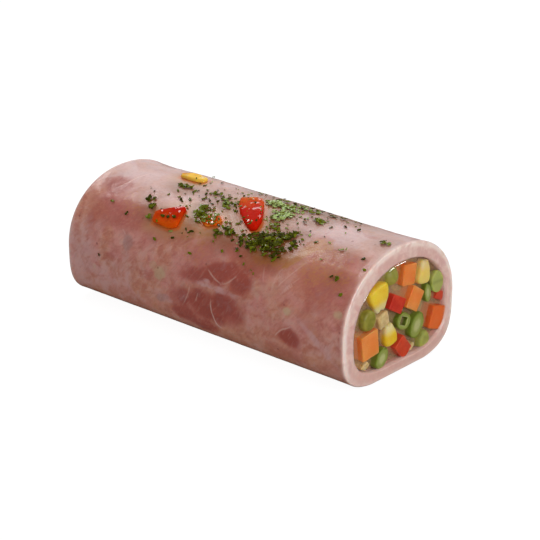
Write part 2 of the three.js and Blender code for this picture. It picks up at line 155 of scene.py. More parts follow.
# Soft patches in the ham: along, around, reach along, reach around, turn, strength
MUSCLE = [
    (10, 33, 15, 4.6, -16, 1.1), (17.2, 34, 7, 6.2, 40, 1.1), (-2, 36.6, 8, 3.4, -14, 1.0),
    (5.6, 45.4, 18.5, 6.8, -8, 1.15), (-5.4, 46, 6.4, 6, 0, 0.9), (40, 46.7, 6, 3.8, 0, 1.15),
    (6, 38, 34, 15, -4, 0.3), (45, 17, 9, 6, 0, 0.75), (49, 25, 14, 12, 0, 0.7), (24, 34, 12, 8, 0, 0.3),
    (20, 25.6, 18, 5, 4, 0.75), (-52.5, 26.4, 3.6, 8, 6, 0.7), (-50, 34, 3, 4, 0, 0.35),
    (-57, 10, 3, 6, 10, 0.35), (50.8, 0.4, 4, 1.6, 0, 0.5), (38.9, 9.8, 5, 2.6, 0, 0.8),
    (40, 14, 6, 4, 0, 0.7), (50, 16, 11, 5, 0, 0.8), (40, 21, 10, 5, 0, 0.45), (-46, 17, 8, 4, -6, 0.45),
    (-52, 14, 7, 6, 0, 0.95), (-35, 17, 9, 5, 0, 0.55), (0, 29, 8, 5, 0, 0.6), (-36, 52, 8, 3, 5, 0.3),
    (-5.5, 51, 8, 4.5, 4, 1.0), (3, 53.5, 7, 3.5, 0, 1.0), (36.5, 53.5, 9, 4, 0, 0.6),
    (48, 40, 7, 6, 20, 0.4), (56, 52, 6, 4, 0, 0.2), (-20, 27, 12, 5, -8, 0.5), (-42, 23, 17, 8, 0, 0.7),
    (40, 30, 14, 8, 10, 0.3), (-30, -20, 13, 7, 10, 0.8), (14, -27, 12, 8, -12, 0.9),
    (44, -22, 9, 9, 5, 0.7), (-8, -46, 18, 5, 4, 0.7), (36, -48, 12, 6, -6, 0.6),
    (-50, -40, 7, 8, 0, 0.7),
]
FAT = [
    (-17.6, 40.2, 3, 3, 10, 1.0), (-20.6, 38, 2.6, 2, 0, 0.7), (-15.2, 37.4, 2.4, 1.4, 0, 0.5),
    (-49.5, 46, 0.9, 1.2, 0, 0.9), (38.9, 37.8, 1.9, 1.5, 0, 1.0), (58.8, 33.6, 2, 1.3, -10, 1.0),
    (-30, 42, 6, 3, 20, 0.35), (-44, 38, 5, 4, 0, 0.3), (29, 33, 6, 4, -20, 0.5),
    (31, 43, 6, 4, 0, 0.35), (-5, -34, 9, 3, 20, 0.8), (25, -40, 10, 3, -10, 0.7),
    (-40, -26, 5, 3, 0, 0.6),
]
VEIL = [
    (9.6, 38.6, 13.5, 1.1, 0, 0.9), (4.1, 37.2, 1.6, 1, 0, 1.2), (51.5, 45, 10, 1.5, 36, 0.8),
    (-58, 42, 9, 12, 0, 0.9), (-42, 47, 16, 9, 0, 0.6), (-28, 40, 7, 4, 10, 0.45),
    (-50, 42, 9, 5, 0, 0.6), (-36, 10, 9, 5, 0, 0.4), (-46, 7, 7, 3.6, -8, 0.5), (36, 2, 10, 5, 0, 0.5),
    (29.4, 6, 5, 3, 0, 0.5), (44, 8, 9, 4, 0, 0.5), (51, 47, 7, 4, 0, 0.6), (55, 12, 5, 6, 0, 0.35),
    (-14, 48.4, 2.6, 1.8, 0, 0.6), (-57, 51, 6, 8, 0, 0.9), (20, -20, 12, 4, 10, 0.6),
    (-20, -36, 10, 4, 0, 0.6), (0, -52, 16, 4, 0, 0.5),
]
LILAC = [
    (-33.9, 33.4, 2.6, 2.9, 0, 1.0), (-34, 37.6, 3, 2, 0, 0.5), (-17, 48.8, 3.6, 1.8, -20, 0.9),
    (-53, 47, 6, 3, 0, 0.5), (-24, 6, 7, 3, 0, 0.4), (-36, -24, 4, 3, 0, 0.8), (6, -38, 5, 3, 0, 0.7),
]
GOLDEN = [
    (35.6, 20.2, 7.4, 1.7, -55, 1.3), (32.4, 21.4, 5, 2, -40, 0.8), (46, 20, 16, 11, 0, 0.5),
    (-36, 18, 12, 6, 0, 0.45), (-8, 20, 15, 8, 0, 0.55), (-4, 29, 8, 5, 0, 0.4), (26, 23, 9, 4, 0, 0.7),
    (37, 16.6, 5, 2.4, -35, 1.0), (30, -24, 8, 3, 20, 0.8), (47, -3, 7, 2.5, 0, 0.45),
    (-5, 20, 8, 4, 0, 0.65), (12, 11, 9, 7, 0, 0.75), (18, 16, 11, 5, 0, 0.55), (40, 13, 6, 5, 0, 0.75),
]
# Whitish threads of sinew, and one painted highlight streak: how strongly each shows, and points along it
# as (along, around)
SINEW_AND_HIGHLIGHT = [
    (0.7, [(3.3, 33), (6.7, 35.1), (10.6, 36.5)]),
    (0.6, [(16.4, 31.7), (13.1, 35.3), (9.4, 36.9)]),
    (1.0, [(6, 42.1), (6.1, 45.6), (7, 48.3), (8.8, 51.5), (11.8, 52.3)]),
    (0.6, [(-3.7, 40.4), (-4.2, 43.3), (-6.8, 48.6)]),
    (0.5, [(0.3, 42.1), (-1, 45.7)]),
    (0.45, [(25.5, 26.3), (27.6, 31.7)]),
    (0.5, [(34.4, 26.6), (31.6, 30.1), (31.6, 33.7)]),
    (0.5, [(39.4, 29.2), (34.7, 33.8)]),
    (0.35, [(-14.5, 29.2), (-14.3, 31.7)]),
    (0.9, [(33.9, 47.9), (35.7, 45.9), (37.8, 44.3), (42, 42.1)]),
    (0.7, [(38.4, 16.4), (35.4, 19.6), (31.6, 21.6)]),
    (0.5, [(36.4, 19.6), (32.8, 25), (31, 31)]),
    (0.4, [(-37.9, 29.3), (-35.2, 31.4)]),
    (0.7, [(38.7, 16.4), (37, 19.7), (34.3, 23.6), (30.7, 27.8)]),
    (0.5, [(40.2, 19.8), (36.8, 26.1), (32.6, 32.4)]),
    (0.45, [(40.9, 25.9), (35.3, 32.5)]),
    # A painted highlight: a soft glossy whitish streak on the glaze at the left end of the crown, drawn as
    # a thread.
    (1.0, [(-51.2, 15.6), (-49.9, 13.8), (-48.1, 7.4), (-46.6, 0.6)]),
    (0.6, [(-30, -14), (-20, -20), (-12, -30)]),
    (0.7, [(4, -18), (14, -28), (18, -40)]),
    (0.6, [(-50, -20), (-42, -34), (-30, -44)]),
    (0.6, [(30, -16), (38, -26), (50, -34)]),
    (0.5, [(-16, -44), (-2, -40), (12, -46)]),
]
OUTLINE_SAMPLES = 4000
SLOPE_STEP = 0.2  # how far to each side an outline's direction is taken
SKIN_WAVES = 0.16  # of the solid's skin


def draw(item, feature):
    """The repeatable draw between 0 and 1 that the solids use too."""
    value = math.sin(item * 12.9898 + feature * 78.233) * 43758.5453
    return value - math.floor(value)


def smooth_step(value, low, high):
    """0 below low, 1 above high, and a soft rise between them."""
    share = np.clip((np.asarray(value, float) - low) / (high - low), 0, 1)
    return share * share * (3 - 2 * share)


def powered(value, power):
    """value to a power, with its sign kept."""
    return np.sign(value) * np.abs(value) ** power


def spun(u, v, angle):
    """A pair of coordinates turned counter-clockwise by an angle."""
    cos, sin = math.cos(angle), math.sin(angle)
    return u * cos - v * sin, u * sin + v * cos


class Outline:
    """A closed outline across the log, from its crest round by -Y, with places by arc length."""

    def __init__(self, shape, inset=0.0):
        angle = math.pi * (0.5 + 2 * np.linspace(0, 1, OUTLINE_SAMPLES + 1))
        cos, sin = np.cos(angle), np.sin(angle)
        power = np.where(sin >= 0, 2 / shape["dome"], 2 / shape["foot"])
        above = shape["top"] - inset - shape["waist"]
        below = shape["waist"] - shape["bottom"] - inset + shape["pressed"]
        self.y = shape["centre"] + (shape["half_width"] - inset) * powered(cos, power)
        z = shape["waist"] + np.where(sin >= 0, above, below) * powered(sin, power)
        self.z = np.maximum(z, shape["bottom"] + inset)
        steps = np.hypot(np.diff(self.y), np.diff(self.z))
        self.s = np.concatenate([[0], np.cumsum(steps)])
        self.length = self.s[-1]

    def at(self, around):
        """Y and Z of places on the outline."""
        s = np.mod(around, self.length)
        return np.interp(s, self.s, self.y), np.interp(s, self.s, self.z)

    def outward(self, around):
        """The direction away from the log at places on the outline, as its Y and Z."""
        y0, z0 = self.at(np.asarray(around) - SLOPE_STEP)
        y1, z1 = self.at(np.asarray(around) + SLOPE_STEP)
        size = np.hypot(y1 - y0, z1 - z0)
        return (z1 - z0) / size, (y0 - y1) / size


SKIN = Outline(HAM)


def skin(along, around, height=0.0):
    """Points on the skin or above it, with the low waves that the solid has."""
    along, around = np.broadcast_arrays(np.asarray(along, float), np.asarray(around, float))
    y, z = SKIN.at(around)
    turn = np.arctan2(z - HAM["waist"], y)
    waves = (
        np.sin(2 * turn + along / 15)
        + 0.7 * np.sin(3 * turn - along / 9 + 1.3)
        + 0.5 * np.sin(5 * turn + along / 6.5 + 2.1)
    )
    ripple = SKIN_WAVES * waves * smooth_step(z, 1, 10)
    ripple = ripple * smooth_step(LENGTH / 2 - np.abs(along), RIM_ROUND, 12)
    out_y, out_z = SKIN.outward(around)
    total = ripple + height
    return np.stack([along, y + out_y * total, z + out_z * total], axis=-1)


def field(points, scale, seed=0.0, octaves=3):
    """Smooth noise about 0 at points in millimetres; scale is the size of its lumps."""
    shift = Vector((seed, -seed, 0.5 * seed))
    flat = points.reshape(-1, 3)
    values = [noise.fractal(Vector(p) / scale + shift, 1.0, 2.0, octaves) for p in flat]
    return np.array(values).reshape(points.shape[:-1])


# Materials

ASPIC_TONE = (222, 166, 126)
EDGE_FALL = 4.0  # how fast the aspic's shine falls off from its edges


def tone(red, green, blue):
    """An sRGB colour of 0 to 255 as Blender's linear colour."""
    shares = [value / 255 for value in (red, green, blue)]
    linear = [s / 12.92 if s <= 0.04045 else ((s + 0.055) / 1.055) ** 2.4 for s in shares]
    return (*linear, 1.0)


class Nodes:
    """A material's node tree, with short calls for the nodes used here."""

    def __init__(self, name):
        self.material = bpy.data.materials.new(name)
        self.material.use_nodes = True
        self.tree = self.material.node_tree
        self.tree.nodes.clear()
        self.output = self.tree.nodes.new("ShaderNodeOutputMaterial")
        self.place = self.tree.nodes.new("ShaderNodeTexCoord").outputs["Object"]

    def put(self, socket, value):
        if isinstance(value, bpy.types.NodeSocket):
            self.tree.links.new(value, socket)
        else:
            socket.default_value = value

    def add(self, kind, inputs, **settings):
        node = self.tree.nodes.new(kind)
        for name, value in settings.items():
            setattr(node, name, value)
        for name, value in inputs.items():
            self.put(node.inputs[name], value)
        return node

    def turned(self, turn, scale):
        """Object coordinates in which a texture comes out turned and stretched, for streaks."""
        inputs = {"Vector": self.place, "Rotation": turn, "Scale": scale}
        return self.add("ShaderNodeMapping", inputs, vector_type="TEXTURE").outputs["Vector"]

    def along_axis(self, axis):
        """The place along an axis of the frame, in metres."""
        return self.add("ShaderNodeSeparateXYZ", {"Vector": self.place}).outputs[axis]

    def noise(self, size, detail=4.0, rough=0.55, warp=0.0, place=None):
        """Noise whose lumps are about size millimetres across."""
        inputs = {
            "Vector": place or self.place, "Scale": 1 / (size * MM), "Detail": detail,
            "Roughness": rough, "Distortion": warp,
        }
        return self.add("ShaderNodeTexNoise", inputs).outputs["Fac"]

    def cells(self, size):
        """Distance from the middle of the nearest cell, in cells of size millimetres."""
        inputs = {"Vector": self.place, "Scale": 1 / (size * MM)}
        return self.add("ShaderNodeTexVoronoi", inputs).outputs["Distance"]

    def level(self, value, low, high):
        """value from low to high as a smooth 0 to 1."""
        inputs = {"Value": value, "From Min": low, "From Max": high}
        node = self.add("ShaderNodeMapRange", inputs, interpolation_type="SMOOTHSTEP")
        return node.outputs["Result"]

    def maths(self, operation, a, b):
        node = self.add("ShaderNodeMath", {}, operation=operation)
        self.put(node.inputs[0], a)
        self.put(node.inputs[1], b)
        return node.outputs[0]

    def plus(self, a, b):
        return self.maths("ADD", a, b)

    def times(self, a, b):
        return self.maths("MULTIPLY", a, b)

    def blend(self, share, a, b):
        """Colour a turning into colour b as share goes from 0 to 1."""
        node = self.add("ShaderNodeMix", {}, data_type="RGBA")
        self.put(node.inputs[0], share)
        self.put(node.inputs[6], a)
        self.put(node.inputs[7], b)
        return node.outputs[2]

    def between(self, value, low, high, first, second):
        """The sRGB colour first turning into second as value goes from low to high."""
        return self.blend(self.level(value, low, high), tone(*first), tone(*second))

    def paint(self, colour, share, strength, new):
        """A new sRGB colour laid over colour where share is high, with strength at most."""
        return self.blend(self.times(share, strength), colour, tone(*new))

    def layers(self, colour, rows):
        """Colours laid over each other: where a value goes from low to high, strength, colour."""
        for value, low, high, strength, new in rows:
            colour = self.paint(colour, self.level(value, low, high), strength, new)
        return colour

    def around_zero(self, value, reach):
        """A texture value of 0 to 1 as one of -reach/2 to reach/2."""
        return self.times(self.maths("SUBTRACT", value, 0.5), reach)

    def attribute(self, name):
        return self.add("ShaderNodeAttribute", {}, attribute_name=name).outputs["Fac"]

    def bump(self, height, depth, strength=1.0, normal=None):
        inputs = {"Height": height, "Distance": depth * MM, "Strength": strength}
        if normal:
            inputs["Normal"] = normal
        return self.add("ShaderNodeBump", inputs).outputs["Normal"]

    def principled(self, colour, rough, normal=None, **inputs):
        shader = self.add("ShaderNodeBsdfPrincipled", {"Base Color": colour, "Roughness": rough})
        for name, value in inputs.items():
            self.put(shader.inputs[name.replace("_", " ")], value)
        if normal:
            self.put(shader.inputs["Normal"], normal)
        self.tree.links.new(shader.outputs[0], self.output.inputs["Surface"])
        return self.material


def glaze_and_sheen_share(n, height):
    """How far the pale glaze, with a painted sheen, shows: on the crown, and further down on its back."""
    behind = n.times(n.maths("MAXIMUM", n.along_axis("Y"), 0.0), 0.2)
    return n.times(n.level(n.plus(height, behind), 0.0388, 0.0428), 0.75)


# The glaze's pale pink to lilac, partly its own colour and partly a painted sheen.
def glaze_and_sheen_colour(n):
    return n.between(n.noise(8, 4, 0.6, 0.8), 0.36, 0.62, (206, 160, 146), (208, 174, 172))


def cut_colour(n, mottle, blotch, height):
    """The cut faces: pale pink, whitish along their outer edge and warmer inside the opening."""
    edge = n.attribute("edge")
    cut = n.between(mottle, 0.36, 0.64, (228, 194, 182), (220, 180, 170))
    cut = n.layers(cut, [(blotch, 0.5, 0.62, 0.6, (208, 158, 150))])
    line = n.times(n.level(edge, 0.0, 1.0), n.level(blotch, 0.3, 0.55))
    cut = n.paint(cut, line, 0.8, (244, 226, 216))
    return n.layers(cut, [
        # Inside the opening the wall takes a warm tone: partly the aspic's colour on it, partly painted
        # light that lifts the shade under the rim.
        (edge, -0.2, -1.0, 0.9, (226, 158, 128)),
        (height, 0.012, 0.002, 0.6, (204, 156, 142)),
    ])


def ham_material():
    """Cooked ham: pink and beige meat, redder muscle, whitish veils, threads, glaze and rims, with a
    painted sheen, a painted highlight and painted shade.
    """
    n = Nodes("ham")
    blotch = n.noise(5.5, 4, 0.55, 0.6)
    mottle = n.noise(2, 4, 0.6, 0.4)
    fibre = n.noise(0.9, 3, 0.5, 0.5, n.turned((0, -0.95, 0), (5, 1, 1)))
    strands = n.noise(2.8, 4, 0.6, 1.0, n.turned((0, -0.7, 0), (2.2, 1, 1)))
    ragged = n.plus(n.around_zero(blotch, 1.2), n.around_zero(strands, 0.8))
    height = n.along_axis("Z")

    colour = n.between(n.noise(13, 3, 0.5, 0.6), 0.4, 0.6, (212, 142, 132), (208, 140, 116))
    colour = n.layers(colour, [
        (blotch, 0.48, 0.64, 0.5, (222, 170, 154)),
        (blotch, 0.5, 0.36, 0.45, (182, 98, 86)),
        (strands, 0.48, 0.66, 0.4, (222, 170, 152)),
        (strands, 0.5, 0.34, 0.4, (178, 94, 84)),
        # Browner over the lowest 20 mm, and painted shade along the foot: a dark brown band where the log
        # meets the floor.
        (height, 0.02, 0.002, 0.5, (202, 136, 104)),
        (height, 0.006, 0.001, 0.6, (128, 74, 52)),
    ])
    # Painted sheen with the glaze: the crown and the top of the back are laid over in a paler lilac pink.
    colour = n.blend(glaze_and_sheen_share(n, height), colour, glaze_and_sheen_colour(n))
    thread = n.plus(n.attribute("offset"), n.around_zero(mottle, 0.8))
    thread = n.level(n.maths("ABSOLUTE", thread, 0.0), 0.45, 0.06)
    stain = n.attribute("stain")
    colour = n.layers(colour, [
        (n.plus(n.attribute("muscle"), ragged), 0.1, 1.1, 0.85, (176, 82, 68)),
        (n.plus(n.attribute("muscle"), ragged), 0.7, 1.4, 0.6, (150, 62, 52)),
        (n.plus(n.attribute("lilac"), n.times(ragged, 0.5)), 0.2, 1.1, 0.6, (158, 118, 116)),
        (n.plus(n.attribute("fat"), n.times(ragged, 0.5)), 0.2, 1.1, 0.8, (200, 168, 134)),
        (n.plus(n.attribute("veil"), n.times(ragged, 1.6)), 0.0, 1.2, 0.65, (214, 168, 166)),
        (fibre, 0.52, 0.7, 0.12, (228, 184, 166)),
        (fibre, 0.48, 0.32, 0.14, (156, 84, 72)),
        (mottle, 0.54, 0.7, 0.2, (170, 92, 86)),
        (n.cells(6.5), 0.09, 0.05, 0.5, (128, 62, 54)),
    ])
    # Threads of sinew, and the painted highlight streak at the left end of the crown, in a pale pink.
    colour = n.paint(colour, n.times(thread, n.attribute("thread")), 0.55, (232, 196, 182))
    golden = n.level(n.plus(n.attribute("golden"), n.around_zero(fibre, 1.2)), 0.2, 1.0)
    colour = n.paint(colour, golden, 0.8, (192, 126, 54))
    colour = n.paint(colour, n.attribute("herb"), 0.9, (140, 78, 22))
    colour = n.layers(colour, [
        (stain, 0.0, 0.8, 0.5, (186, 134, 82)),
        (stain, 0.7, 0.98, 0.8, (216, 112, 40)),
    ])
    colour = n.blend(n.attribute("rim"), colour, cut_colour(n, mottle, blotch, height))

    fine = n.bump(fibre, 0.06, 0.4)
    relief = n.bump(n.noise(3.2, 3, 0.5), 0.3, 0.35, fine)
    rough = n.add("ShaderNodeMapRange", {"Value": n.noise(9, 4, 0.6), "To Min": 0.24, "To Max": 0.5})
    return n.principled(
        colour, rough.outputs["Result"], relief, Subsurface_Weight=0.2, Subsurface_Radius=(1, 0.35, 0.2),
        Subsurface_Scale=0.002, Specular_IOR_Level=0.45, Coat_Weight=0.3, Coat_Roughness=0.18,
    )


def sunk_colour(n, colour):
    """A vegetable's colour as it looks through the aspic in front of it."""
    return n.layers(colour, [(n.attribute("depth"), 3, 9, 0.5, ASPIC_TONE)])


def vegetable(n, colour, rough, relief, radius):
    """The moist, slightly translucent finish that the vegetables share."""
    return n.principled(
        sunk_colour(n, colour), rough, relief, Subsurface_Weight=0.8, Subsurface_Radius=radius,
        Subsurface_Scale=0.003, Specular_IOR_Level=0.3,
    )


def carrot_material():
    n = Nodes("carrot")
    grain = n.noise(1.1, 4, 0.6, 0.3)
    colour = n.between(n.noise(5, 3, 0.5), 0.35, 0.65, (242, 156, 84), (236, 140, 68))
    colour = n.layers(colour, [(grain, 0.5, 0.75, 0.35, (244, 164, 88))])
    colour = n.paint(colour, n.attribute("tint"), 0.8, (226, 88, 40))
    return vegetable(n, colour, 0.42, n.bump(grain, 0.15, 0.4), (1, 0.4, 0.12))


def pepper_material():
    n = Nodes("red_pepper")
    grain = n.noise(0.9, 3, 0.5)
    colour = n.between(n.noise(4.5, 3, 0.5, 0.4), 0.36, 0.64, (212, 74, 50), (194, 52, 42))
    colour = n.paint(colour, n.attribute("tint"), 0.85, (216, 98, 58))
    return vegetable(n, colour, 0.36, n.bump(grain, 0.12, 0.35), (1, 0.2, 0.08))


def corn_material():
    n = Nodes("sweetcorn")
    grain = n.noise(1.8, 3, 0.5)
    colour = n.between(n.noise(4, 3, 0.5), 0.35, 0.65, (244, 210, 62), (236, 190, 40))
    tip = n.plus(n.attribute("tip"), n.around_zero(grain, 0.5))
    colour = n.layers(colour, [(tip, 0.1, 1.1, 1.0, (234, 216, 164))])
    colour = n.paint(colour, n.attribute("tint"), 0.75, (234, 208, 132))
    return vegetable(n, colour, 0.34, n.bump(grain, 0.12, 0.3), (1, 0.7, 0.15))


def pea_material():
    n = Nodes("pea")
    colour = n.between(n.noise(3.4, 3, 0.5, 0.6), 0.34, 0.66, (162, 152, 66), (136, 130, 50))
    colour = n.paint(colour, n.attribute("tint"), 0.85, (182, 188, 108))
    colour = n.paint(colour, n.attribute("tip"), 0.6, (92, 96, 24))
    return vegetable(n, colour, 0.38, n.bump(n.noise(1.2, 3, 0.6), 0.15, 0.4), (0.7, 1, 0.3))


def bean_material():
    n = Nodes("green_bean")
    grain = n.noise(0.9, 4, 0.6, 0.4)
    core = n.plus(n.attribute("core"), n.around_zero(grain, 0.25))
    colour = n.between(core, 0.98, 0.78, (110, 124, 42), (150, 158, 80))
    colour = n.layers(colour, [(core, 0.66, 0.3, 1.0, (190, 190, 132))])
    return vegetable(n, colour, 0.4, n.bump(grain, 0.12, 0.4), (0.8, 1, 0.4))


def turnip_material():
    n = Nodes("turnip")
    grain = n.noise(1.3, 4, 0.6, 0.5)
    colour = n.between(grain, 0.36, 0.66, (218, 192, 140), (200, 172, 120))
    return vegetable(n, colour, 0.45, n.bump(grain, 0.2, 0.5), (1, 0.8, 0.5))


def topping_material():
    """Pepper on the crown: red through orange to amber, wet, with small lumps that glint."""
    n = Nodes("topping_pepper")
    tint = n.plus(n.attribute("tint"), n.around_zero(n.noise(3, 3, 0.5, 0.4), 0.3))
    colour = n.between(tint, 0.1, 0.6, (198, 24, 0), (214, 82, 6))
    colour = n.layers(colour, [(tint, 0.6, 1.0, 1.0, (255, 204, 80))])
    lumps = n.bump(n.noise(2.6, 1, 0.5), 0.8, 0.5)
    wet = n.level(n.noise(2.8, 1, 0.5), 0.6, 0.63)
    return n.principled(
        colour, 0.5, lumps, Subsurface_Weight=0.2, Subsurface_Radius=(1, 0.2, 0.06),
        Subsurface_Scale=0.0015, IOR=1.1, Coat_Weight=wet, Coat_IOR=1.9, Coat_Roughness=0.08,
    )


def parsley_material():
    n = Nodes("parsley")
    shade = n.plus(n.attribute("shade"), n.around_zero(n.noise(1, 3, 0.5), 0.5))
    colour = n.between(shade, 0.05, 0.5, (60, 60, 2), (110, 116, 14))
    colour = n.layers(colour, [(shade, 0.5, 1.0, 1.0, (180, 202, 128))])
    relief = n.bump(n.noise(0.35, 2, 0.5), 0.08, 0.6)
    wet = n.level(n.plus(n.noise(1.1, 2, 0.5), n.times(shade, 0.12)), 0.64, 0.7)
    return n.principled(
        colour, 0.55, relief, Specular_IOR_Level=0.05, Coat_Weight=wet, Coat_IOR=2.0, Coat_Roughness=0.12,
    )


def core_material():
    n = Nodes("aspic_core")
    colour = n.between(n.noise(4.5, 4, 0.6, 0.6), 0.35, 0.65, ASPIC_TONE, (188, 128, 84))
    return n.principled(colour, 0.5, Subsurface_Weight=0.2, Subsurface_Scale=0.002)


def see_through(name, colour, hidden, gloss, edge_gloss, rough):
    """Clear stuff: each face hides a share of what is behind it, and shines most at its edges."""
    n = Nodes(name)
    clear = n.add("ShaderNodeBsdfTransparent", {"Color": (1, 1, 1, 1)})
    haze = n.add("ShaderNodeBsdfDiffuse", {"Color": tone(*colour)})
    shine = n.add("ShaderNodeBsdfGlossy", {"Color": (1, 1, 1, 1), "Roughness": rough})
    facing = n.add("ShaderNodeLayerWeight", {"Blend": 0.5}).outputs["Facing"]
    at_edge = n.times(n.maths("POWER", facing, EDGE_FALL), edge_gloss)
    hazed = n.add("ShaderNodeMixShader", {"Fac": hidden})
    glossed = n.add("ShaderNodeMixShader", {"Fac": n.plus(at_edge, gloss)})
    n.tree.links.new(clear.outputs[0], hazed.inputs[1])
    n.tree.links.new(haze.outputs[0], hazed.inputs[2])
    n.tree.links.new(hazed.outputs[0], glossed.inputs[1])
    n.tree.links.new(shine.outputs[0], glossed.inputs[2])
    n.tree.links.new(glossed.outputs[0], n.output.inputs["Surface"])
    return n.material


# Meshes


def piece(name, points, faces, material, replaces=(), attributes=None):
    """A smooth piece from points in millimetres, riding on the one body."""
    mesh = bpy.data.meshes.new(name)
    corners = [list(map(int, face)) for face in faces]
    mesh.from_pydata((np.asarray(points, float) * MM).tolist(), [], corners)
    mesh.polygons.foreach_set("use_smooth", [True] * len(mesh.polygons))
    for label, values in (attributes or {}).items():
        layer = mesh.attributes.new(label, "FLOAT", "POINT")
        layer.data.foreach_set("value", np.asarray(values, np.float32))
    mesh.validate()
    mesh.materials.append(material)
    made = bpy.data.objects.new(name, mesh)
    bpy.context.scene.collection.objects.link(made)
    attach(made, "root")
    if replaces:
        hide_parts(*replaces)
    return made


def ring_faces(rings, sides, closed=False):
    """Quads between rings of sides points each; closed joins the last ring to the first."""
    row = np.arange(rings if closed else rings - 1)
    i, j = np.meshgrid(row, np.arange(sides), indexing="ij")
    after, beside = (i + 1) % rings, (j + 1) % sides
    corners = (i * sides + j, i * sides + beside, after * sides + beside, after * sides + j)
    return np.stack(corners, axis=-1).reshape(-1, 4).tolist()


def closed_loft(rings):
    """A closed body through rings that run counter-clockwise as seen from the last of them.

    Its last two points are the middles of its two ends.
    """
    count, sides = len(rings), len(rings[0])
    points = np.vstack([*rings, rings[0].mean(axis=0), rings[-1].mean(axis=0)])
    faces = ring_faces(count, sides)
    low, high, last = count * sides, count * sides + 1, (count - 1) * sides
    for j in range(sides):
        beside = (j + 1) % sides
        faces.append([low, beside, j])
        faces.append([high, last + j, last + beside])
    return points, faces


def with_ends(values):
    """A value for each point of a loft, from those of its rings, with its two middles last."""
    rows = np.array(values, float)
    return np.concatenate([rows.ravel(), [rows[0].mean(), rows[-1].mean()]])


# Ham

AROUND = 288
ALONG = 206
RIM_RINGS = 6
FACE_RINGS = 9
BORE_RINGS = 26
RIM_PALE = 0.9  # how far the pale cut edge shows on the skin
RIM_SHARE = 0.35  # how strongly it shows there
LINE_SHARE = 0.25  # how far the whitish line reaches across the cut face, as a share of the wall
STAIN_REACH = 6.0  # how far pepper and parsley tint the glaze round them
CURVE_STEPS = 5  # between two points of a thread of sinew or of the painted highlight
THREAD_REACH = 0.9  # how far from its middle a thread stands up
FARTHEST = 3.0  # the largest distance from a thread that is told apart
# Relief of the skin: lumps, small lumps, threads and muscle, which lies a little lower
RELIEF = (0.10, 0.05, 0.05, 0.06)
SKIN_DROP = 0.18  # how far the skin is set in, so that no relief leaves the solid
LEAST_DROP = 0.06


def patches(along, around, table, wobble):
    """How strongly the soft patches of a table show at points of the skin."""
    total = np.zeros_like(along)
    for at, round_at, reach, round_reach, turn, strength in table:
        u, v = spun(along - at, around - round_at, -math.radians(turn))
        inside = 1 - smooth_step(np.hypot(u / reach, v / round_reach) + wobble, 0.45, 1.35)
        total = np.maximum(total, strength * inside)
    return total


def curve_through(line):
    """Points along a smooth curve through those of a line."""
    p = np.array([line[0], *line, line[-1]], float)
    curve = []
    for a, b, c, d in zip(p, p[1:], p[2:], p[3:]):
        for t in np.arange(CURVE_STEPS) / CURVE_STEPS:
            bend = (c - a) * t + (2 * a - 5 * b + 4 * c - d) * t**2 + (3 * b - a - 3 * c + d) * t**3
            curve.append(b + 0.5 * bend)
    return [*curve, p[-1]]


def sinew_and_highlight_threads(x, s):
    """At each point, the signed distance to the nearest thread and how strongly that shows."""
    nearest = np.full_like(x, np.inf)
    offset = np.full_like(x, FARTHEST)
    shown = np.zeros_like(x)
    for strength, line in SINEW_AND_HIGHLIGHT:
        curve = curve_through(line)
        for k, (start, end) in enumerate(zip(curve, curve[1:])):
            step = end - start
            share = ((x - start[0]) * step[0] + (s - start[1]) * step[1]) / (step @ step)
            share = np.clip(share, 0, 1)
            away_x = x - start[0] - share * step[0]
            away_s = s - start[1] - share * step[1]
            distance = np.hypot(away_x, away_s)
            closer = distance < nearest
            side = np.sign(step[0] * away_s - step[1] * away_x)
            nearest = np.where(closer, distance, nearest)
            offset = np.where(closer, side * distance, offset)
            place = (k + share) / (len(curve) - 1)
            fade = smooth_step(np.minimum(place, 1 - place), 0, 0.25)
            shown = np.where(closer, strength * fade * np.exp(-((distance / THREAD_REACH) ** 2)), shown)
    return np.clip(offset, -FARTHEST, FARTHEST), shown


def beyond_slice(corners, along, around):
    """How far points of the skin lie outside a slice of pepper; less than 0 under it."""
    beyond = np.full(np.shape(along), -np.inf)
    for (x, s), (next_x, next_s) in zip(corners, corners[1:] + corners[:1]):
        outside = (next_x - x) * (around - s) - (next_s - s) * (along - x)
        beyond = np.maximum(beyond, outside / math.hypot(next_x - x, next_s - s))
    return beyond


def pepper_stain(x, s):
    """How near the skin is to a slice of pepper, which tints the glaze round it: 1 to 0."""
    stains = [1 - np.clip(beyond_slice(corners, x, s) / STAIN_REACH, 0, 1) for _, corners in TOPPINGS]
    return np.max(stains, axis=0)


def herb_stain(x, s):
    """How strongly the parsley tints the glaze round it: a large clump more than a small one."""
    total = np.zeros_like(x)
    for at, reach, count, _, _ in PARSLEY:
        away = np.hypot((x - at[0]) / (reach[0] + STAIN_REACH), (s - at[1]) / (reach[1] + STAIN_REACH))
        total = np.maximum(total, min(1, count / 5) * (1 - smooth_step(away, 0.3, 1.25)))
    return total


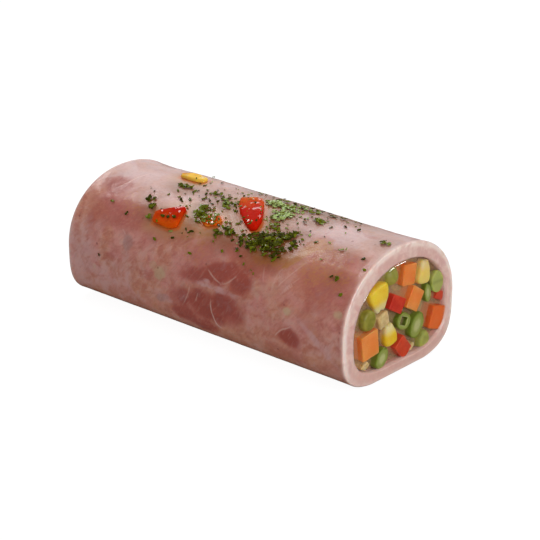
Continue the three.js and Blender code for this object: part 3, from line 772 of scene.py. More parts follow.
def ham_rings(around):
    """The rings of the ham as one closed tube, and how far each is skin and how far cut face."""
    body = LENGTH / 2 - RIM_ROUND
    shares = np.arange(AROUND) / AROUND
    outer, inner = Outline(HAM, RIM_ROUND), Outline(OPENING)
    outer_y, outer_z = outer.at(shares * outer.length)
    inner_y, inner_z = inner.at(shares * inner.length)
    rings, on_skin, on_cut, at_edge = [], [], [], []

    def ring(x, y, z, skin_share, cut_share, edge_share):
        rings.append(np.stack([np.full(AROUND, x), y, z], axis=-1))
        on_skin.append(skin_share)
        on_cut.append(cut_share)
        at_edge.append(edge_share)

    def rim(side, steps):
        for step in steps:
            angle = math.pi / 2 * step / RIM_RINGS
            x = LENGTH / 2 - RIM_ROUND * (1 - math.cos(angle))
            edge = Outline(HAM, RIM_ROUND * (1 - math.sin(angle)))
            on_face = 1 - smooth_step(step / RIM_RINGS, 0.3, 1)
            cut_share = RIM_SHARE + (1 - RIM_SHARE) * on_face
            ring(side * x, *edge.at(shares * edge.length), 0.0, cut_share, 1.0)

    def cut_face(side, steps):
        for step in steps:
            t = step / FACE_RINGS
            y, z = outer_y + (inner_y - outer_y) * t, outer_z + (inner_z - outer_z) * t
            ring(side * LENGTH / 2, y, z, 0.0, 1.0, math.exp(-((t / LINE_SHARE) ** 2)))

    rim(-1, range(RIM_RINGS))
    for x in np.linspace(-body, body, ALONG):
        from_rim = body - abs(x)
        rings.append(skin(x, around))
        on_skin.append(smooth_step(from_rim, 0, 2.5))
        on_cut.append(RIM_SHARE * (1 - smooth_step(from_rim, 0, RIM_PALE)))
        at_edge.append(1.0)
    rim(1, reversed(range(RIM_RINGS)))
    cut_face(1, range(1, FACE_RINGS + 1))
    for x in np.linspace(LENGTH / 2, -LENGTH / 2, BORE_RINGS)[1:-1]:
        ring(x, inner_y, inner_z, 0.0, 1.0, -1.0)
    cut_face(-1, reversed(range(1, FACE_RINGS + 1)))
    each = [np.repeat(np.array(values, float), AROUND) for values in (on_skin, on_cut, at_edge)]
    return np.vstack(rings), each


def ham_piece():
    """The ham: outer skin, rounded rims, cut faces and the opening, as one closed tube."""
    shares = np.arange(AROUND) / AROUND
    around = np.mod(shares * SKIN.length + SKIN.length / 2, SKIN.length) - SKIN.length / 2
    points, (on_skin, on_cut, at_edge) = ham_rings(around)
    count = len(points) // AROUND
    x, s = points[:, 0].copy(), np.tile(around, count)
    wobble = 0.3 * field(points, 7, 3.1, 4)
    muscle = patches(x, s, MUSCLE, wobble)
    fine = field(points, 2.2, 5.0, 3)
    offset, thread = sinew_and_highlight_threads(x, s)

    lumps, small, raised, lowered = RELIEF
    waves = lumps * field(points, 9, 11.0, 3) + small * fine + raised * thread - lowered * muscle
    height = np.minimum(waves - SKIN_DROP, -LEAST_DROP)
    height = on_skin * smooth_step(points[:, 2], 0.5, 6) * height
    out_y, out_z = SKIN.outward(s)
    points[:, 1] += out_y * height
    points[:, 2] += out_z * height
    on_face = np.abs(x) > LENGTH / 2 - 0.01
    points[on_face, 0] -= np.sign(x[on_face]) * np.maximum(0.06 + 0.1 * fine[on_face], 0)

    attributes = {
        "muscle": muscle, "fat": patches(x, s, FAT, wobble), "veil": patches(x, s, VEIL, wobble),
        "golden": patches(x, s, GOLDEN, wobble), "lilac": patches(x, s, LILAC, wobble),
        "offset": offset, "thread": thread, "rim": on_cut, "edge": at_edge,
        "stain": pepper_stain(x, s), "herb": herb_stain(x, s),
    }
    faces = ring_faces(count, AROUND, closed=True)
    piece("ham_wall_skin", points, faces, ham_material(), ["ham_wall"], attributes)


# Vegetables


def inside_opening(points, inset):
    """Points of the log's frame drawn in to the opening's outline where they lie outside it."""
    shape = OPENING
    u = points[:, 1] - shape["centre"]
    v = points[:, 2] - shape["waist"]
    dome = v >= 0
    power = np.where(dome, shape["dome"], shape["foot"])
    rise = np.where(dome, shape["top"] - shape["waist"], shape["waist"] - shape["bottom"]) - inset
    reach = (np.abs(u) / (shape["half_width"] - inset)) ** power + (np.abs(v) / rise) ** power
    share = np.where(reach > 1, np.maximum(reach, 1e-9) ** (-1 / power), 1)
    out = points.copy()
    out[:, 1] = shape["centre"] + u * share
    out[:, 2] = shape["waist"] + v * share
    return out


EDGE_STEPS = (0, 0.15, 0.45, 0.8, 1.2)  # of a box's grid, in shares of the radius of its edges
FLAT_STEPS = 7


def box_samples(h, edge):
    """Places from -h to h, closer together near both ends."""
    near_edge = np.array(EDGE_STEPS) * edge
    flat = np.linspace(near_edge[-1] - h, h - near_edge[-1], FLAT_STEPS)
    return np.concatenate([near_edge - h, flat[1:-1], (h - near_edge)[::-1]])


def box_grid(half, edge):
    """Points and quads on the faces of a box, closer together near its edges."""
    samples = [box_samples(h, edge) for h in half]
    index, points, faces = {}, [], []

    def vertex(place):
        key = tuple(place)
        if key not in index:
            index[key] = len(points)
            points.append([samples[axis][step] for axis, step in enumerate(key)])
        return index[key]

    last = len(samples[0]) - 1
    for a in range(last):
        for b in range(last):
            for axis in range(3):
                for end in (0, last):
                    quad = []
                    for step_a, step_b in ((0, 0), (1, 0), (1, 1), (0, 1)):
                        place = [a + step_a, b + step_b]
                        place.insert(axis, end)
                        quad.append(vertex(place))
                    outward = (end == last) != (axis == 1)
                    faces.append(quad if outward else quad[::-1])
    return np.array(points), faces


LUMP = 2.6  # size of the lumps of a knife-cut cube


def uneven_corners(points, half, seed):
    """How far each point of a box moves when its eight corners are drawn in unequally."""
    share = points / half * 0.5 + 0.5
    shift = np.zeros_like(points)
    for corner in range(8):
        high = np.array([(corner >> axis) & 1 for axis in range(3)])
        weight = np.prod(np.where(high, share, 1 - share), axis=1)
        draws = np.array([draw(seed + corner, axis) for axis in range(3)])
        shift += weight[:, None] * (0.5 - high) * draws
    return shift


def rounded_box(size, seed, edge, lumps):
    """A knife-cut cube with unequal corners, soft edges and a slightly lumpy surface."""
    half = np.array(size) / 2
    p, faces = box_grid(half, edge)
    core = np.clip(p, -(half - edge), half - edge)
    off = p - core
    reach = np.maximum(np.linalg.norm(off, axis=1, keepdims=True), 1e-9)
    p = core + off / reach * edge
    p = p + uneven_corners(p, half, seed)
    away = p / np.maximum(np.linalg.norm(p, axis=1, keepdims=True), 1e-9)
    return p + away * (lumps * field(p, LUMP, seed * 0.37, 3))[:, None], faces, {}


SIDES = 32  # of a pea or a kernel
PEA_RINGS = 22
WRINKLE = 0.14
PEA_BAND = 0.16  # how wide the band is where a pea's halves meet


def ball(size, seed):
    """A pea: a ball with faint wrinkles and one soft band where its halves meet."""
    t = math.pi * np.arange(1, PEA_RINGS)[:, None] / PEA_RINGS
    f = 2 * math.pi * np.arange(SIDES) / SIDES
    x = np.broadcast_to(-np.cos(t), (PEA_RINGS - 1, SIDES))
    unit = np.stack([x, np.sin(t) * np.cos(f), np.sin(t) * np.sin(f)], axis=-1)
    unit, faces = closed_loft(list(unit))
    unit[-2], unit[-1] = (-1, 0, 0), (1, 0, 0)
    dent = WRINKLE * (np.abs(field(unit * 3, 1.6, seed * 0.21, 3)) - 0.3)
    p = unit * (np.array(size) / 2 - dent[:, None])
    lean = draw(seed, 21) * 2 - 1
    band = np.exp(-(((unit[:, 2] + 0.35 * lean + 0.2 * unit[:, 1]) / PEA_BAND) ** 2))
    return p, faces, {"tip": band * (0.2 + 0.4 * draw(seed, 22))}


# A kernel's width along its height, root end first: share of the height, share of the width
KERNEL = [
    (0, 0.4), (0.03, 0.5), (0.1, 0.58), (0.22, 0.68), (0.4, 0.86), (0.56, 0.97), (0.7, 1.0),
    (0.82, 0.97), (0.9, 0.86), (0.96, 0.64), (0.99, 0.38), (1, 0.12),
]
KERNEL_RINGS = 30
SQUARE = 2 / 2.7  # how squarish a kernel is across
THICK = 1.15  # how much sooner a kernel gets thick than wide
DIMPLE = 0.3  # in its crown
NOTCH = 0.12  # in its root end, as a share of its height
BUMPS = 0.05  # of a kernel and of a slice of bean


def kernel(size, seed, pinch):
    """A kernel of sweetcorn: squarish across, full at its crown, with a pale notched root end."""
    depth, width, height = size
    stations = np.array(KERNEL)
    t = (1 - (1 - np.linspace(0, 1, KERNEL_RINGS)) ** 1.4)[:, None]
    share = np.interp(t, stations[:, 0], stations[:, 1])
    share = share * (1 - pinch * np.exp(-(((t - 0.5) / 0.09) ** 2)))
    angle = 2 * math.pi * np.arange(SIDES) / SIDES
    cx, cy = powered(np.cos(angle), SQUARE), powered(np.sin(angle), SQUARE)
    x = (depth / 2) * np.clip(share * THICK, 0, 1) * cx
    in_dimple = np.exp(-(((t - 0.72) / 0.16) ** 2)) * np.exp(-((cy / 0.5) ** 2))
    x = x - DIMPLE * in_dimple * powered(cx, 0.5)
    y = (width / 2) * share * cy
    notch = NOTCH * height * np.exp(-((cy / 0.35) ** 2)) * np.exp(-((t / 0.09) ** 2))
    z = height * (t - 0.5) + notch
    p, faces = closed_loft(list(np.stack([x, y, z], axis=-1)))
    p = p + BUMPS * field(p, 2, seed * 0.3, 2)[:, None]
    tip = with_ends(np.broadcast_to(1 - smooth_step(t, 0.05, 0.65), (KERNEL_RINGS, SIDES)))
    return p, faces, {"tip": tip}


# Rings of a bean slice from its middle or hole out: share of the way out, rise of the cut face
SLICE = [
    (0.2, 0.0), (0.4, 0.0), (0.58, 0.02), (0.74, 0.06), (0.86, 0.06), (0.94, 0.0), (0.985, -0.16),
    (1.0, -0.42),
]
HOLE_RIM = [(0.0, -0.5), (0.0, -0.1)]
BEAN_SIDES = 40
HOLE = 0.24  # the reach of a bean's hole, as a share of the bean's width
HOLE_CORE = 0.45  # how far the skin's green shows round the hole


def slice_of_bean(size, seed, hollow):
    """A slice of bean: green skin and pale heart, or a squarish hole where its seed has gone."""
    depth, width, height = size
    angle = 2 * math.pi * np.arange(BEAN_SIDES) / BEAN_SIDES
    cos, sin = np.cos(angle), np.sin(angle)
    uneven = 1 + 0.035 * np.sin(2 * angle + 6 * draw(seed, 31)) + 0.02 * np.sin(5 * angle + seed)
    oval = np.stack([cos * width / 2, sin * height / 2], axis=-1) * uneven[:, None]
    square = np.maximum(np.abs(cos) / width, np.abs(sin) / height)
    hole = HOLE * np.stack([cos, sin], axis=-1) / square[:, None] * (1 if hollow else 0)
    profile = HOLE_RIM + SLICE if hollow else SLICE
    least = HOLE_CORE if hollow else 0.0
    rings, core = [], []
    for side, rows in ((-1, profile), (1, profile[::-1])):
        for share, rise in rows:
            flat = hole + (oval - hole) * share
            rings.append(np.column_stack([np.full(BEAN_SIDES, side * (depth / 2 + rise)), flat]))
            in_hole = hollow and rise == profile[0][1]
            core.append(np.full(BEAN_SIDES, 1.0 if in_hole else least + (1 - least) * share))
    if hollow:
        p, core = np.vstack(rings), np.concatenate(core)
        faces = ring_faces(len(rings), BEAN_SIDES, closed=True)
    else:
        p, faces = closed_loft(rings)
        core = with_ends(core)
    p[:, 0] += BUMPS * field(p, 1.4, seed * 0.5, 2)
    return p, faces, {"core": core}


# Knife-cut cubes: radius of their edges, height of their lumps
CUBES = {"carrot": (0.45, 0.09), "pepper": (0.4, 0.12), "turnip": (0.9, 0.35)}
PINCHES = {"near_corn_3": 0.1}  # how far a kernel is drawn in between its two lobes


def vegetable_shape(name, kind, size, seed):
    """The points, faces and attributes of a vegetable about its own middle."""
    if kind in CUBES:
        return rounded_box(size, seed, *CUBES[kind])
    if kind == "corn":
        return kernel(size, seed, PINCHES.get(name, 0.0))
    if kind == "pea":
        return ball(size, seed)
    return slice_of_bean(size, seed, kind == "hollow_bean")


# Material and slot of each kind
LOOKS = {
    "carrot": (carrot_material(), "carrot"),
    "pepper": (pepper_material(), "red_pepper"),
    "corn": (corn_material(), "sweetcorn"),
    "pea": (pea_material(), "pea"),
    "bean": (bean_material(), "green_bean"),
    "turnip": (turnip_material(), "turnip"),
}
LOOKS["hollow_bean"] = LOOKS["bean"]
# How far a vegetable's own colour leans to the second tone of its kind
TINTS = {
    "near_carrot_3": 0.8, "near_carrot_4": 0.05, "near_pepper_2": 0.45, "near_pepper_3": 0.5,
    "near_corn_3": 0.9, "near_pea_2": 0.95, "near_pea_1": 0.25, "near_pea_4": 0.6,
}
TINT_REACH = 0.25  # and of the others at most
CUT_SOFTNESS = 0.35  # how softly a vegetable flattens where it meets the film of aspic


def place_vegetable(name, kind, across, up, deep, size, spin, side, seed, replaces):
    """One vegetable in its place at a cut, kept inside the opening and behind the film."""
    points, faces, attributes = vegetable_shape(name, kind, size, seed)
    y, z = spun(points[:, 1], points[:, 2], math.radians(spin))
    over = (points[:, 0] - deep + ASPIC_FILM) / CUT_SOFTNESS
    depth = ASPIC_FILM + CUT_SOFTNESS * np.log1p(np.exp(-over))
    at_cut = np.stack([side * (LENGTH / 2 - depth), side * (across + y), up + z], axis=-1)
    points = inside_opening(at_cut, GAP)
    attributes["depth"] = depth
    attributes["tint"] = np.full(len(points), TINTS.get(name, TINT_REACH * draw(seed, 41)))
    material, slot = LOOKS[kind]
    piece(name + "_look", points, faces, material, replaces, attributes)


def cut_vegetables(name, rows, side):
    """The vegetables at a cut, named and numbered as their solids are."""
    counts = {}
    for i, (kind, across, up, deep, size, spin) in enumerate(rows):
        counts[kind] = counts.get(kind, 0) + 1
        node = f"{name}_{kind}_{counts[kind]}"
        place_vegetable(node, kind, across, up, deep, size, spin, side, 31 * (i + 1), [node])


DEEP_KINDS = ["carrot", "pea", "corn", "bean", "turnip", "pea", "pepper", "bean"]
DEEP_ROWS = (7.5, 14.5, 21.5, 28.5, 34)  # how high the rows of sunk vegetables lie
DEEP_COLUMNS = 7
DEEP_APART = 7.6
DEEP_REACH = (22, 20)  # the oval that they stay inside: across, up
DEEP_SIZE = (6.5, 6.2, 6.6)  # the smallest of them
DEEP_LEAST = 7.8  # how deep their middles lie at least
DEEP_SPREAD = 1.5  # and how much deeper at most
DEEP_SEED = {1: 700, -1: 500}  # for the shown and the hidden cut


def sunk_vegetables(name, side):
    """Vegetables wholly sunk in the aspic, in uneven rows, which show hazily behind the others."""
    item = 0
    middle, waist = OPENING["centre"], OPENING["waist"]
    for row, up in enumerate(DEEP_ROWS):
        for column in range(DEEP_COLUMNS):
            step = column - DEEP_COLUMNS // 2
            across = step * DEEP_APART + (DEEP_APART / 2 if row % 2 else 0) + middle
            item += 1
            if ((across - middle) / DEEP_REACH[0]) ** 2 + ((up - waist) / DEEP_REACH[1]) ** 2 > 1:
                continue
            seed = DEEP_SEED[side] + 17 * item
            kind = DEEP_KINDS[int(draw(seed, 51) * len(DEEP_KINDS))]
            size = (DEEP_SIZE[0], DEEP_SIZE[1] + draw(seed, 52), DEEP_SIZE[2] + draw(seed, 53))
            deep = DEEP_LEAST + DEEP_SPREAD * draw(seed, 54)
            spin = 180 * draw(seed, 55) - 90
            place_vegetable(f"{name}_{item}", kind, across, up, deep, size, spin, side, seed, [])


# Aspic

OPENING_SIDES = 160
ASPIC_INSET = 0.1  # between the aspic and the ham round it
SHRINK = (0.12, 0.24, 0.36, 0.48, 0.6, 0.72, 0.84, 0.94)
CORE_DEPTH = 9.0
# Clear aspic and the two murky depths of it: front, roll of its front edge, back, as depths
CLEAR = (0.12, 1.6, 8.7)
MURKY = [(2.6, 0.5, 8.5), (4.8, 0.4, 8.3)]
ROLL_RINGS = 9
BODY_RINGS = 4
CORE_RINGS = 12
FRONT_WAVE = 0.1  # how uneven the aspic's front is
FRONT_LUMP = 6  # and how broad its waves are


def opening_ring(x, inset, share=1.0):
    """The opening's outline at x, drawn in by inset and then shrunk to a share of its size."""
    edge = Outline(OPENING, inset)
    y, z = edge.at(np.arange(OPENING_SIDES) / OPENING_SIDES * edge.length)
    y = OPENING["centre"] + (y - OPENING["centre"]) * share
    z = OPENING["waist"] + (z - OPENING["waist"]) * share
    return np.stack([np.full(OPENING_SIDES, x), y, z], axis=-1)


def aspic_body(name, side, depths, material):
    """A closed body of aspic behind a cut, its front a little wavy and rolled over along the ham."""
    front, roll, back = depths
    rows = [(back, ASPIC_INSET, share) for share in SHRINK]
    rows += [(depth, ASPIC_INSET, 1.0) for depth in np.linspace(back, front + roll, BODY_RINGS)[:-1]]
    for angle in np.linspace(0, math.pi / 2, ROLL_RINGS):
        depth = front + roll * (1 - math.sin(angle))
        rows.append((depth, ASPIC_INSET + roll * (1 - math.cos(angle)), 1.0))
    rows += [(front, ASPIC_INSET + roll, share) for share in reversed(SHRINK)]
    rings = [opening_ring(side * (LENGTH / 2 - depth), inset, share) for depth, inset, share in rows]
    points, faces = closed_loft(rings if side > 0 else rings[::-1])
    at_front = np.abs(points[:, 0]) > LENGTH / 2 - front - 0.3
    waves = FRONT_WAVE * (field(points[at_front], FRONT_LUMP, 2.0, 2) + 0.6)
    points[at_front, 0] -= side * np.maximum(waves, 0)
    piece(name, points, faces, material)


def murky_core():
    """The opaque middle of the filling, which closes the view into the log."""
    reach = LENGTH / 2 - CORE_DEPTH
    ends = [(-reach, share) for share in SHRINK]
    body = [(x, 1.0) for x in np.linspace(-reach, reach, CORE_RINGS)]
    rows = ends + body + [(-x, share) for x, share in reversed(ends)]
    points, faces = closed_loft([opening_ring(x, GAP, share) for x, share in rows])
    piece("aspic_core", points, faces, core_material(), ["aspic_filling"])


# Toppings

# Rings of a slice of pepper, from its underside over its edge to its top: reach, rise
SLICE_PROFILE = [
    (0.05, 0), (0.5, 0), (0.9, 0), (0.99, 0.06), (1, 0.25), (1, 0.5), (0.985, 0.7), (0.95, 0.86),
    (0.88, 0.95), (0.74, 1), (0.55, 1.02), (0.34, 1), (0.15, 1),
]
SLICE_SIDES = 96
SUNK = 0.15  # how far a slice reaches into the skin
CORNER_CUT = 0.12  # how much of each side a round of cutting takes off at each corner
# Relief of a slice's top: lumps, small lumps, and how far the top is set in for them
TOP_RELIEF = (0.16, 0.03, 0.24)
EDGE_TINT = 0.08  # how much more orange a slice is at its edge
LUMP_TINT = 0.15  # and on its lumps


def soft_corners(corners):
    """The outline of a slice with its corners cut round, as evenly spaced points."""
    p = np.array(corners, float)
    kept = 1 - CORNER_CUT
    for _ in range(3):
        after = np.roll(p, -1, axis=0)
        sides = [kept * p + CORNER_CUT * after, CORNER_CUT * p + kept * after]
        p = np.stack(sides, axis=1).reshape(-1, 2)
    ring = np.vstack([p, p[:1]])
    s = np.concatenate([[0], np.cumsum(np.linalg.norm(np.diff(ring, axis=0), axis=1))])
    even = np.arange(SLICE_SIDES) / SLICE_SIDES * s[-1]
    return np.column_stack([np.interp(even, s, ring[:, 0]), np.interp(even, s, ring[:, 1])])


def pepper_slice(index, material):
    """A slice of pepper bent onto the skin, with a soft edge and a lumpy wet top."""
    thick, corners = TOPPINGS[index]
    tint, along_change, around_change = TOPPING_TINTS[index]
    edge = soft_corners(corners)
    middle = edge.mean(axis=0)
    rings, reach = [], []
    for share, rise in SLICE_PROFILE:
        lift = rise * (GAP + thick + SUNK) - SUNK
        rings.append(np.column_stack([middle + (edge - middle) * share, np.full(SLICE_SIDES, lift)]))
        reach.append(np.full(SLICE_SIDES, share))
    flat, faces = closed_loft(rings)
    lumps = field(flat, 2.4, 7.0 + index, 2)
    small = field(flat, 1.1, 3.0 + index, 2)
    on_top = smooth_step(flat[:, 2], 0.2 * thick, thick)
    lumpy, finely, set_in = TOP_RELIEF
    height = flat[:, 2] + on_top * (lumpy * lumps + finely * small - set_in)
    points = skin(flat[:, 0], flat[:, 1], height)
    values = tint + along_change * (flat[:, 0] - middle[0]) + around_change * (flat[:, 1] - middle[1])
    values = values + EDGE_TINT * smooth_step(with_ends(reach), 0.8, 1) + LUMP_TINT * lumps
    name = f"topping_pepper_{index + 1}"
    attributes = {"tint": np.clip(values, 0, 1)}
    piece(name + "_look", points, faces, material, [name], attributes)


LEAF_THICK = 0.16
LEAF_TOP = 1.55  # the highest that parsley stands above the skin
LEAF_SIDES = 12
LEAF_LEAN = 0.5  # slopes between which a scrap tilts, from minus half of it to half of it
LEAF_LOW = -0.25  # how far a scrap's edge reaches into the skin
LONGEST_ON_PEPPER = 2.6
# Scraps lie on a slice of pepper this far inside its edge, and beside it this far outside
ON_SLICE, OFF_SLICE = -0.1, 0.5
SLICE_REST = 0.8  # how high they lie on it, as a share of its thickness
# Fine scraps heaped in a clump: for each of its own, how many; how much wider; how high
FINE_EACH, FINE_SPREAD, FINE_PILE = 5, 1.25, 0.09
FULL_CLUMP = 7  # scraps from which on a clump has its full share of fine ones
# Specks strewn over the crown: how many, round where, and how far
SPECKS, SPECKS_AT, SPECKS_REACH = 240, (4, 8), (34, 17)
# First numbers of the draws for fine scraps, single ones, heaps and specks
FINE_DRAWS, STRAY_DRAWS, HEAP_DRAWS, SPECK_DRAWS = 4000, 8000, 8500, 9000


def leaf_scrap(length, width, tall, item):
    """A chopped scrap of parsley: a thin, lobed and curled leaf, both faces alike."""
    lobes = 3 + int(draw(item, 61) * 3)
    sides = LEAF_SIDES
    angle = 2 * math.pi * np.arange(sides) / sides
    lobed = 0.12 * np.cos(lobes * angle + 6 * draw(item, 62))
    edge = 0.5 * (0.86 + lobed + 0.08 * np.sin(2 * angle + item))
    flat = np.stack([np.cos(angle) * edge * length, np.sin(angle) * edge * width], axis=-1)
    rows = []
    for share in (1.0, 0.5):
        xy = flat * share
        curl = 0.6 * length * (draw(item, 63) - 0.3) * (xy[:, 0] / length) ** 2
        rows.append(np.column_stack([xy, curl + 0.25 * tall * np.sin(3 * angle + item) * share]))
    top = np.vstack([*rows, [[0, 0, 0.05 * tall]]])
    points = np.vstack([top, top - [0, 0, LEAF_THICK]])
    points[:, 2] += tall
    count = len(top)
    faces = []
    for j in range(sides):
        k = (j + 1) % sides
        upper = [[j, k, sides + k, sides + j], [sides + j, sides + k, 2 * sides]]
        faces += upper + [[count + v for v in reversed(face)] for face in upper]
        faces.append([k, j, count + j, count + k])
    return points, faces


def pepper_under(along, around):
    """How high the pepper under a point is, or None where a slice's edge is too near to lie on."""
    for thick, corners in TOPPINGS:
        beyond = beyond_slice(corners, np.array(along), np.array(around))
        if beyond < ON_SLICE:
            return GAP + SLICE_REST * thick
        if beyond < OFF_SLICE:
            return None
    return 0.0


def strewn(item):
    """A repeatable place within 1 of the middle each way, and more often near it."""
    return draw(item, 1) + draw(item, 2) - 1, draw(item, 3) + draw(item, 4) - 1


def clump_scraps(clump):
    """The scraps that the solid carries in one clump, and finer ones heaped among them."""
    at, reach, count, size, bright = PARSLEY[clump]
    pile = min(1.0, FINE_PILE * count)
    rows = []
    for i in range(round(count * (1 + FINE_EACH * min(1.0, count / FULL_CLUMP)))):
        fine = i >= count
        item = 100 * (clump + 1) + i + (FINE_DRAWS if fine else 0)
        spread = FINE_SPREAD if fine else 1.0
        off_x, off_s = strewn(item)
        along, around = at[0] + spread * reach[0] * off_x, at[1] + spread * reach[1] * off_s
        length = (1.1 + 1.7 * draw(item, 5)) if fine else size * (0.7 + 0.5 * draw(item, 5))
        width = length * (0.4 + 0.3 * draw(item, 6))
        tall = 0.25 if fine else 0.55 * (0.7 + 0.8 * draw(item, 7))
        lift = pile * draw(item, 9) * (1 - math.hypot(off_x, off_s)) if fine else 0.0
        shade = bright + 0.6 * (draw(item, 10) - 0.4)
        rows.append((along, around, length, width, tall, item, max(lift, 0), shade))
    return rows


def loose_scraps():
    """Single scraps at measured places, loose heaps, and specks strewn over the crown."""
    rows = []
    for i, (along, around) in enumerate(STRAYS):
        item = STRAY_DRAWS + i
        length = 1.2 + 0.8 * draw(item, 5)
        rows.append((along, around, length, 0.6 * length, 0.3, item, 0.0, 0.5 * draw(item, 10)))
    for heap, (at, reach, count, size, bright) in enumerate(HEAPS):
        for i in range(count):
            item = HEAP_DRAWS + 100 * heap + i
            off_x, off_s = strewn(item)
            along, around = at[0] + reach[0] * off_x, at[1] + reach[1] * off_s
            length = size * (0.7 + 0.8 * draw(item, 5))
            shade = bright + 0.5 * draw(item, 10)
            rows.append((along, around, length, 0.55 * length, 0.25, item, 0.0, shade))
    for i in range(SPECKS):
        item = SPECK_DRAWS + i
        off_x = draw(item, 1) + draw(item, 2) + draw(item, 6) - 1.5
        off_s = draw(item, 3) + draw(item, 4) + draw(item, 7) - 1.5
        along, around = SPECKS_AT[0] + SPECKS_REACH[0] * off_x, SPECKS_AT[1] + SPECKS_REACH[1] * off_s
        length = 0.7 + 1.1 * draw(item, 5) ** 1.5
        rows.append((along, around, length, 0.5 * length, 0.15, item, 0.0, 0.8 * draw(item, 10)))
    return rows


def parsley_piece():
    """All the chopped parsley as one mesh lying on the skin and on the pepper."""
    rows = [row for clump in range(len(PARSLEY)) for row in clump_scraps(clump)] + loose_scraps()
    points, faces, shades = [], [], []
    total = 0
    for along, around, length, width, tall, item, lift, shade in rows:
        under = pepper_under(along, around)
        if under is None or (under and length > LONGEST_ON_PEPPER):
            continue
        local, scrap = leaf_scrap(length, width, tall, item)
        u, v = spun(local[:, 0], local[:, 1], 2 * math.pi * draw(item, 8))
        lean_u, lean_v = LEAF_LEAN * (draw(item, 64) - 0.5), LEAF_LEAN * (draw(item, 65) - 0.5)
        height = local[:, 2] + u * lean_u + v * lean_v + lift
        height = np.clip(height, LEAF_LOW, LEAF_TOP - LEAF_THICK)
        points.append(skin(along + u, around - v, height + under))
        faces += [[index + total for index in face] for face in scrap]
        shades.append(np.full(len(local), shade))
        total += len(local)
    low, high = (np.array(corner) / MM for corner in cad_box)
    inside = np.clip(np.vstack(points), low, high)
    attributes = {"shade": np.clip(np.concatenate(shades), 0, 1)}
    piece("parsley_leaves", inside, faces, parsley_material(), attributes=attributes)


# Stage, light and camera

CAMERA_AZIMUTH = 41.6
CAMERA_ELEVATION = 21.9
CAMERA_DISTANCE = 600
CAMERA_AIM = (4.27, 3.11, 18.73)
CAMERA_LENS = 117.5
SENSOR_WIDTH = 36
FLOOR_REACH = 3000
FLOOR_DROP = 0.2
FLOOR_TONE = (96, 96, 96)
FLOOR_GLOW = 0.95
# Lights: name, place, target, (width, height), power, and whether they show only as glints
LIGHTS = [
    ("key", (430, -110, 190), (20, 0, 20), (200, 200), 0.95, False),
    ("back", (-200, 420, 390), (0, 0, 30), (700, 400), 1.5, False),
    ("top", (-250, 20, 330), (0, 0, 40), (120, 120), 0.25, False),
    ("glint", (390, 347, 185), (62, 0, 34), (150, 60), 0.4, True),
    ("spark", (-300, 130, 340), (0, 0, 40), (45, 45), 0.04, True),
    ("grazing", (-300, 337, 75), (0, 0, 40), (700, 140), 0.25, True),
]
# Strength of the even light from straight below, from the horizon and from straight above
SKY = (0.47, 0.51, 0.385)


def aim(thing, place, target):
    """Puts a light or the camera in its place, looking at its target."""
    thing.location = Vector(place) * MM
    away = Vector(target) * MM - thing.location
    thing.rotation_euler = away.to_track_quat("-Z", "Y").to_euler()


def soft_light(name, place, target, size, power, only_glints):
    """A rectangular light."""
    data = bpy.data.lights.new(name, "AREA")
    data.shape = "RECTANGLE"
    data.size, data.size_y = size[0] * MM, size[1] * MM
    data.energy = power
    light = bpy.data.objects.new(name, data)
    light.visible_diffuse = not only_glints
    bpy.context.scene.collection.objects.link(light)
    aim(light, place, target)


def sky():
    """A white world that is stronger above than below."""
    world = bpy.data.worlds.new("world")
    world.use_nodes = True
    tree = world.node_tree
    background = tree.nodes["Background"]
    background.inputs["Color"].default_value = (1, 1, 1, 1)
    place = tree.nodes.new("ShaderNodeTexCoord").outputs["Generated"]
    split = tree.nodes.new("ShaderNodeSeparateXYZ")
    tree.links.new(place, split.inputs[0])
    ramp = tree.nodes.new("ShaderNodeFloatCurve")
    points = ramp.mapping.curves[0].points
    points[0].location, points[1].location = (0, SKY[0]), (1, SKY[2])
    points.new(0.5, SKY[1])
    ramp.mapping.update()
    share = tree.nodes.new("ShaderNodeMapRange")
    share.inputs["From Min"].default_value = -1
    tree.links.new(split.outputs["Z"], share.inputs["Value"])
    tree.links.new(share.outputs["Result"], ramp.inputs["Value"])
    tree.links.new(ramp.outputs["Value"], background.inputs["Strength"])
    world.cycles_visibility.glossy = False
    bpy.context.scene.world = world


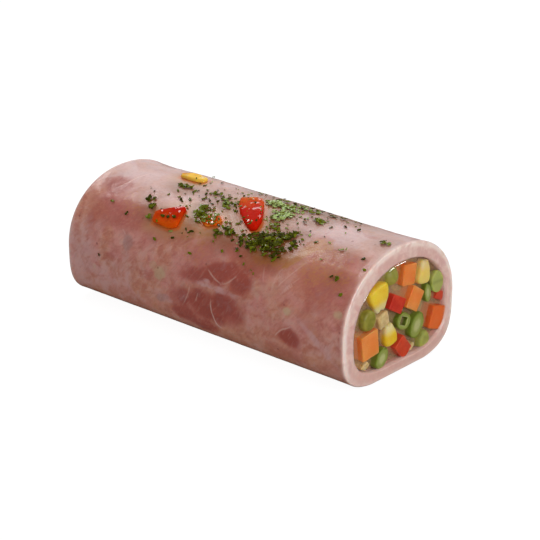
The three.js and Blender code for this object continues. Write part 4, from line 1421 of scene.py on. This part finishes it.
def stage():
    """A pale floor that takes only a faint shadow and throws no light back on the log."""
    n = Nodes("floor")
    n.principled(
        tone(*FLOOR_TONE), 0.9, Specular_IOR_Level=0.0, Emission_Color=(1, 1, 1, 1),
        Emission_Strength=FLOOR_GLOW,
    )
    reach = FLOOR_REACH * MM
    mesh = bpy.data.meshes.new("floor")
    corners = [(-reach, -reach, 0), (reach, -reach, 0), (reach, reach, 0), (-reach, reach, 0)]
    mesh.from_pydata(corners, [], [(0, 1, 2, 3)])
    mesh.materials.append(n.material)
    floor = bpy.data.objects.new("floor", mesh)
    floor.location.z = -FLOOR_DROP * MM
    floor.visible_diffuse = False
    floor.visible_glossy = False
    bpy.context.scene.collection.objects.link(floor)


def lights():
    """The sky and the lights, with plain tones in the picture."""
    sky()
    for row in LIGHTS:
        soft_light(*row)
    scene = bpy.context.scene
    scene.view_settings.view_transform = "Standard"
    scene.cycles.use_denoising = True


def camera():
    """The camera, as fitted to the outline of the log and of its shown cut."""
    azimuth, elevation = math.radians(CAMERA_AZIMUTH), math.radians(CAMERA_ELEVATION)
    level = math.cos(elevation)
    back = Vector((math.sin(azimuth) * level, -math.cos(azimuth) * level, math.sin(elevation)))
    data = bpy.data.cameras.new("camera")
    data.lens = CAMERA_LENS
    data.sensor_width = SENSOR_WIDTH
    made = bpy.data.objects.new("camera", data)
    bpy.context.scene.collection.objects.link(made)
    aim(made, Vector(CAMERA_AIM) + back * CAMERA_DISTANCE, CAMERA_AIM)
    bpy.context.scene.camera = made


# The whole log


def filling():
    """The aspic, with the vegetables at both cuts and those sunk behind them."""
    murky_core()
    clear = see_through("aspic_clear", (190, 140, 116), hidden=0.0, gloss=0.08, edge_gloss=0.25, rough=0.06)
    murk = see_through("aspic_murk", (242, 200, 154), hidden=0.25, gloss=0.0, edge_gloss=0.0, rough=0.5)
    for name, rows, side in (("near", SHOWN_CUT, 1), ("far", HIDDEN_CUT, -1)):
        cut_vegetables(name, rows, side)
        sunk_vegetables(name + "_sunk", side)
        aspic_body(name + "_aspic_clear", side, CLEAR, clear)
        for layer, depths in enumerate(MURKY):
            aspic_body(f"{name}_aspic_murk_{layer + 1}", side, depths, murk)


def toppings():
    """The slices of pepper and the chopped parsley on the crown."""
    material = topping_material()
    for index in range(len(TOPPINGS)):
        pepper_slice(index, material)
    parsley_piece()


camera()
stage()
lights()
ham_piece()
filling()
toppings()
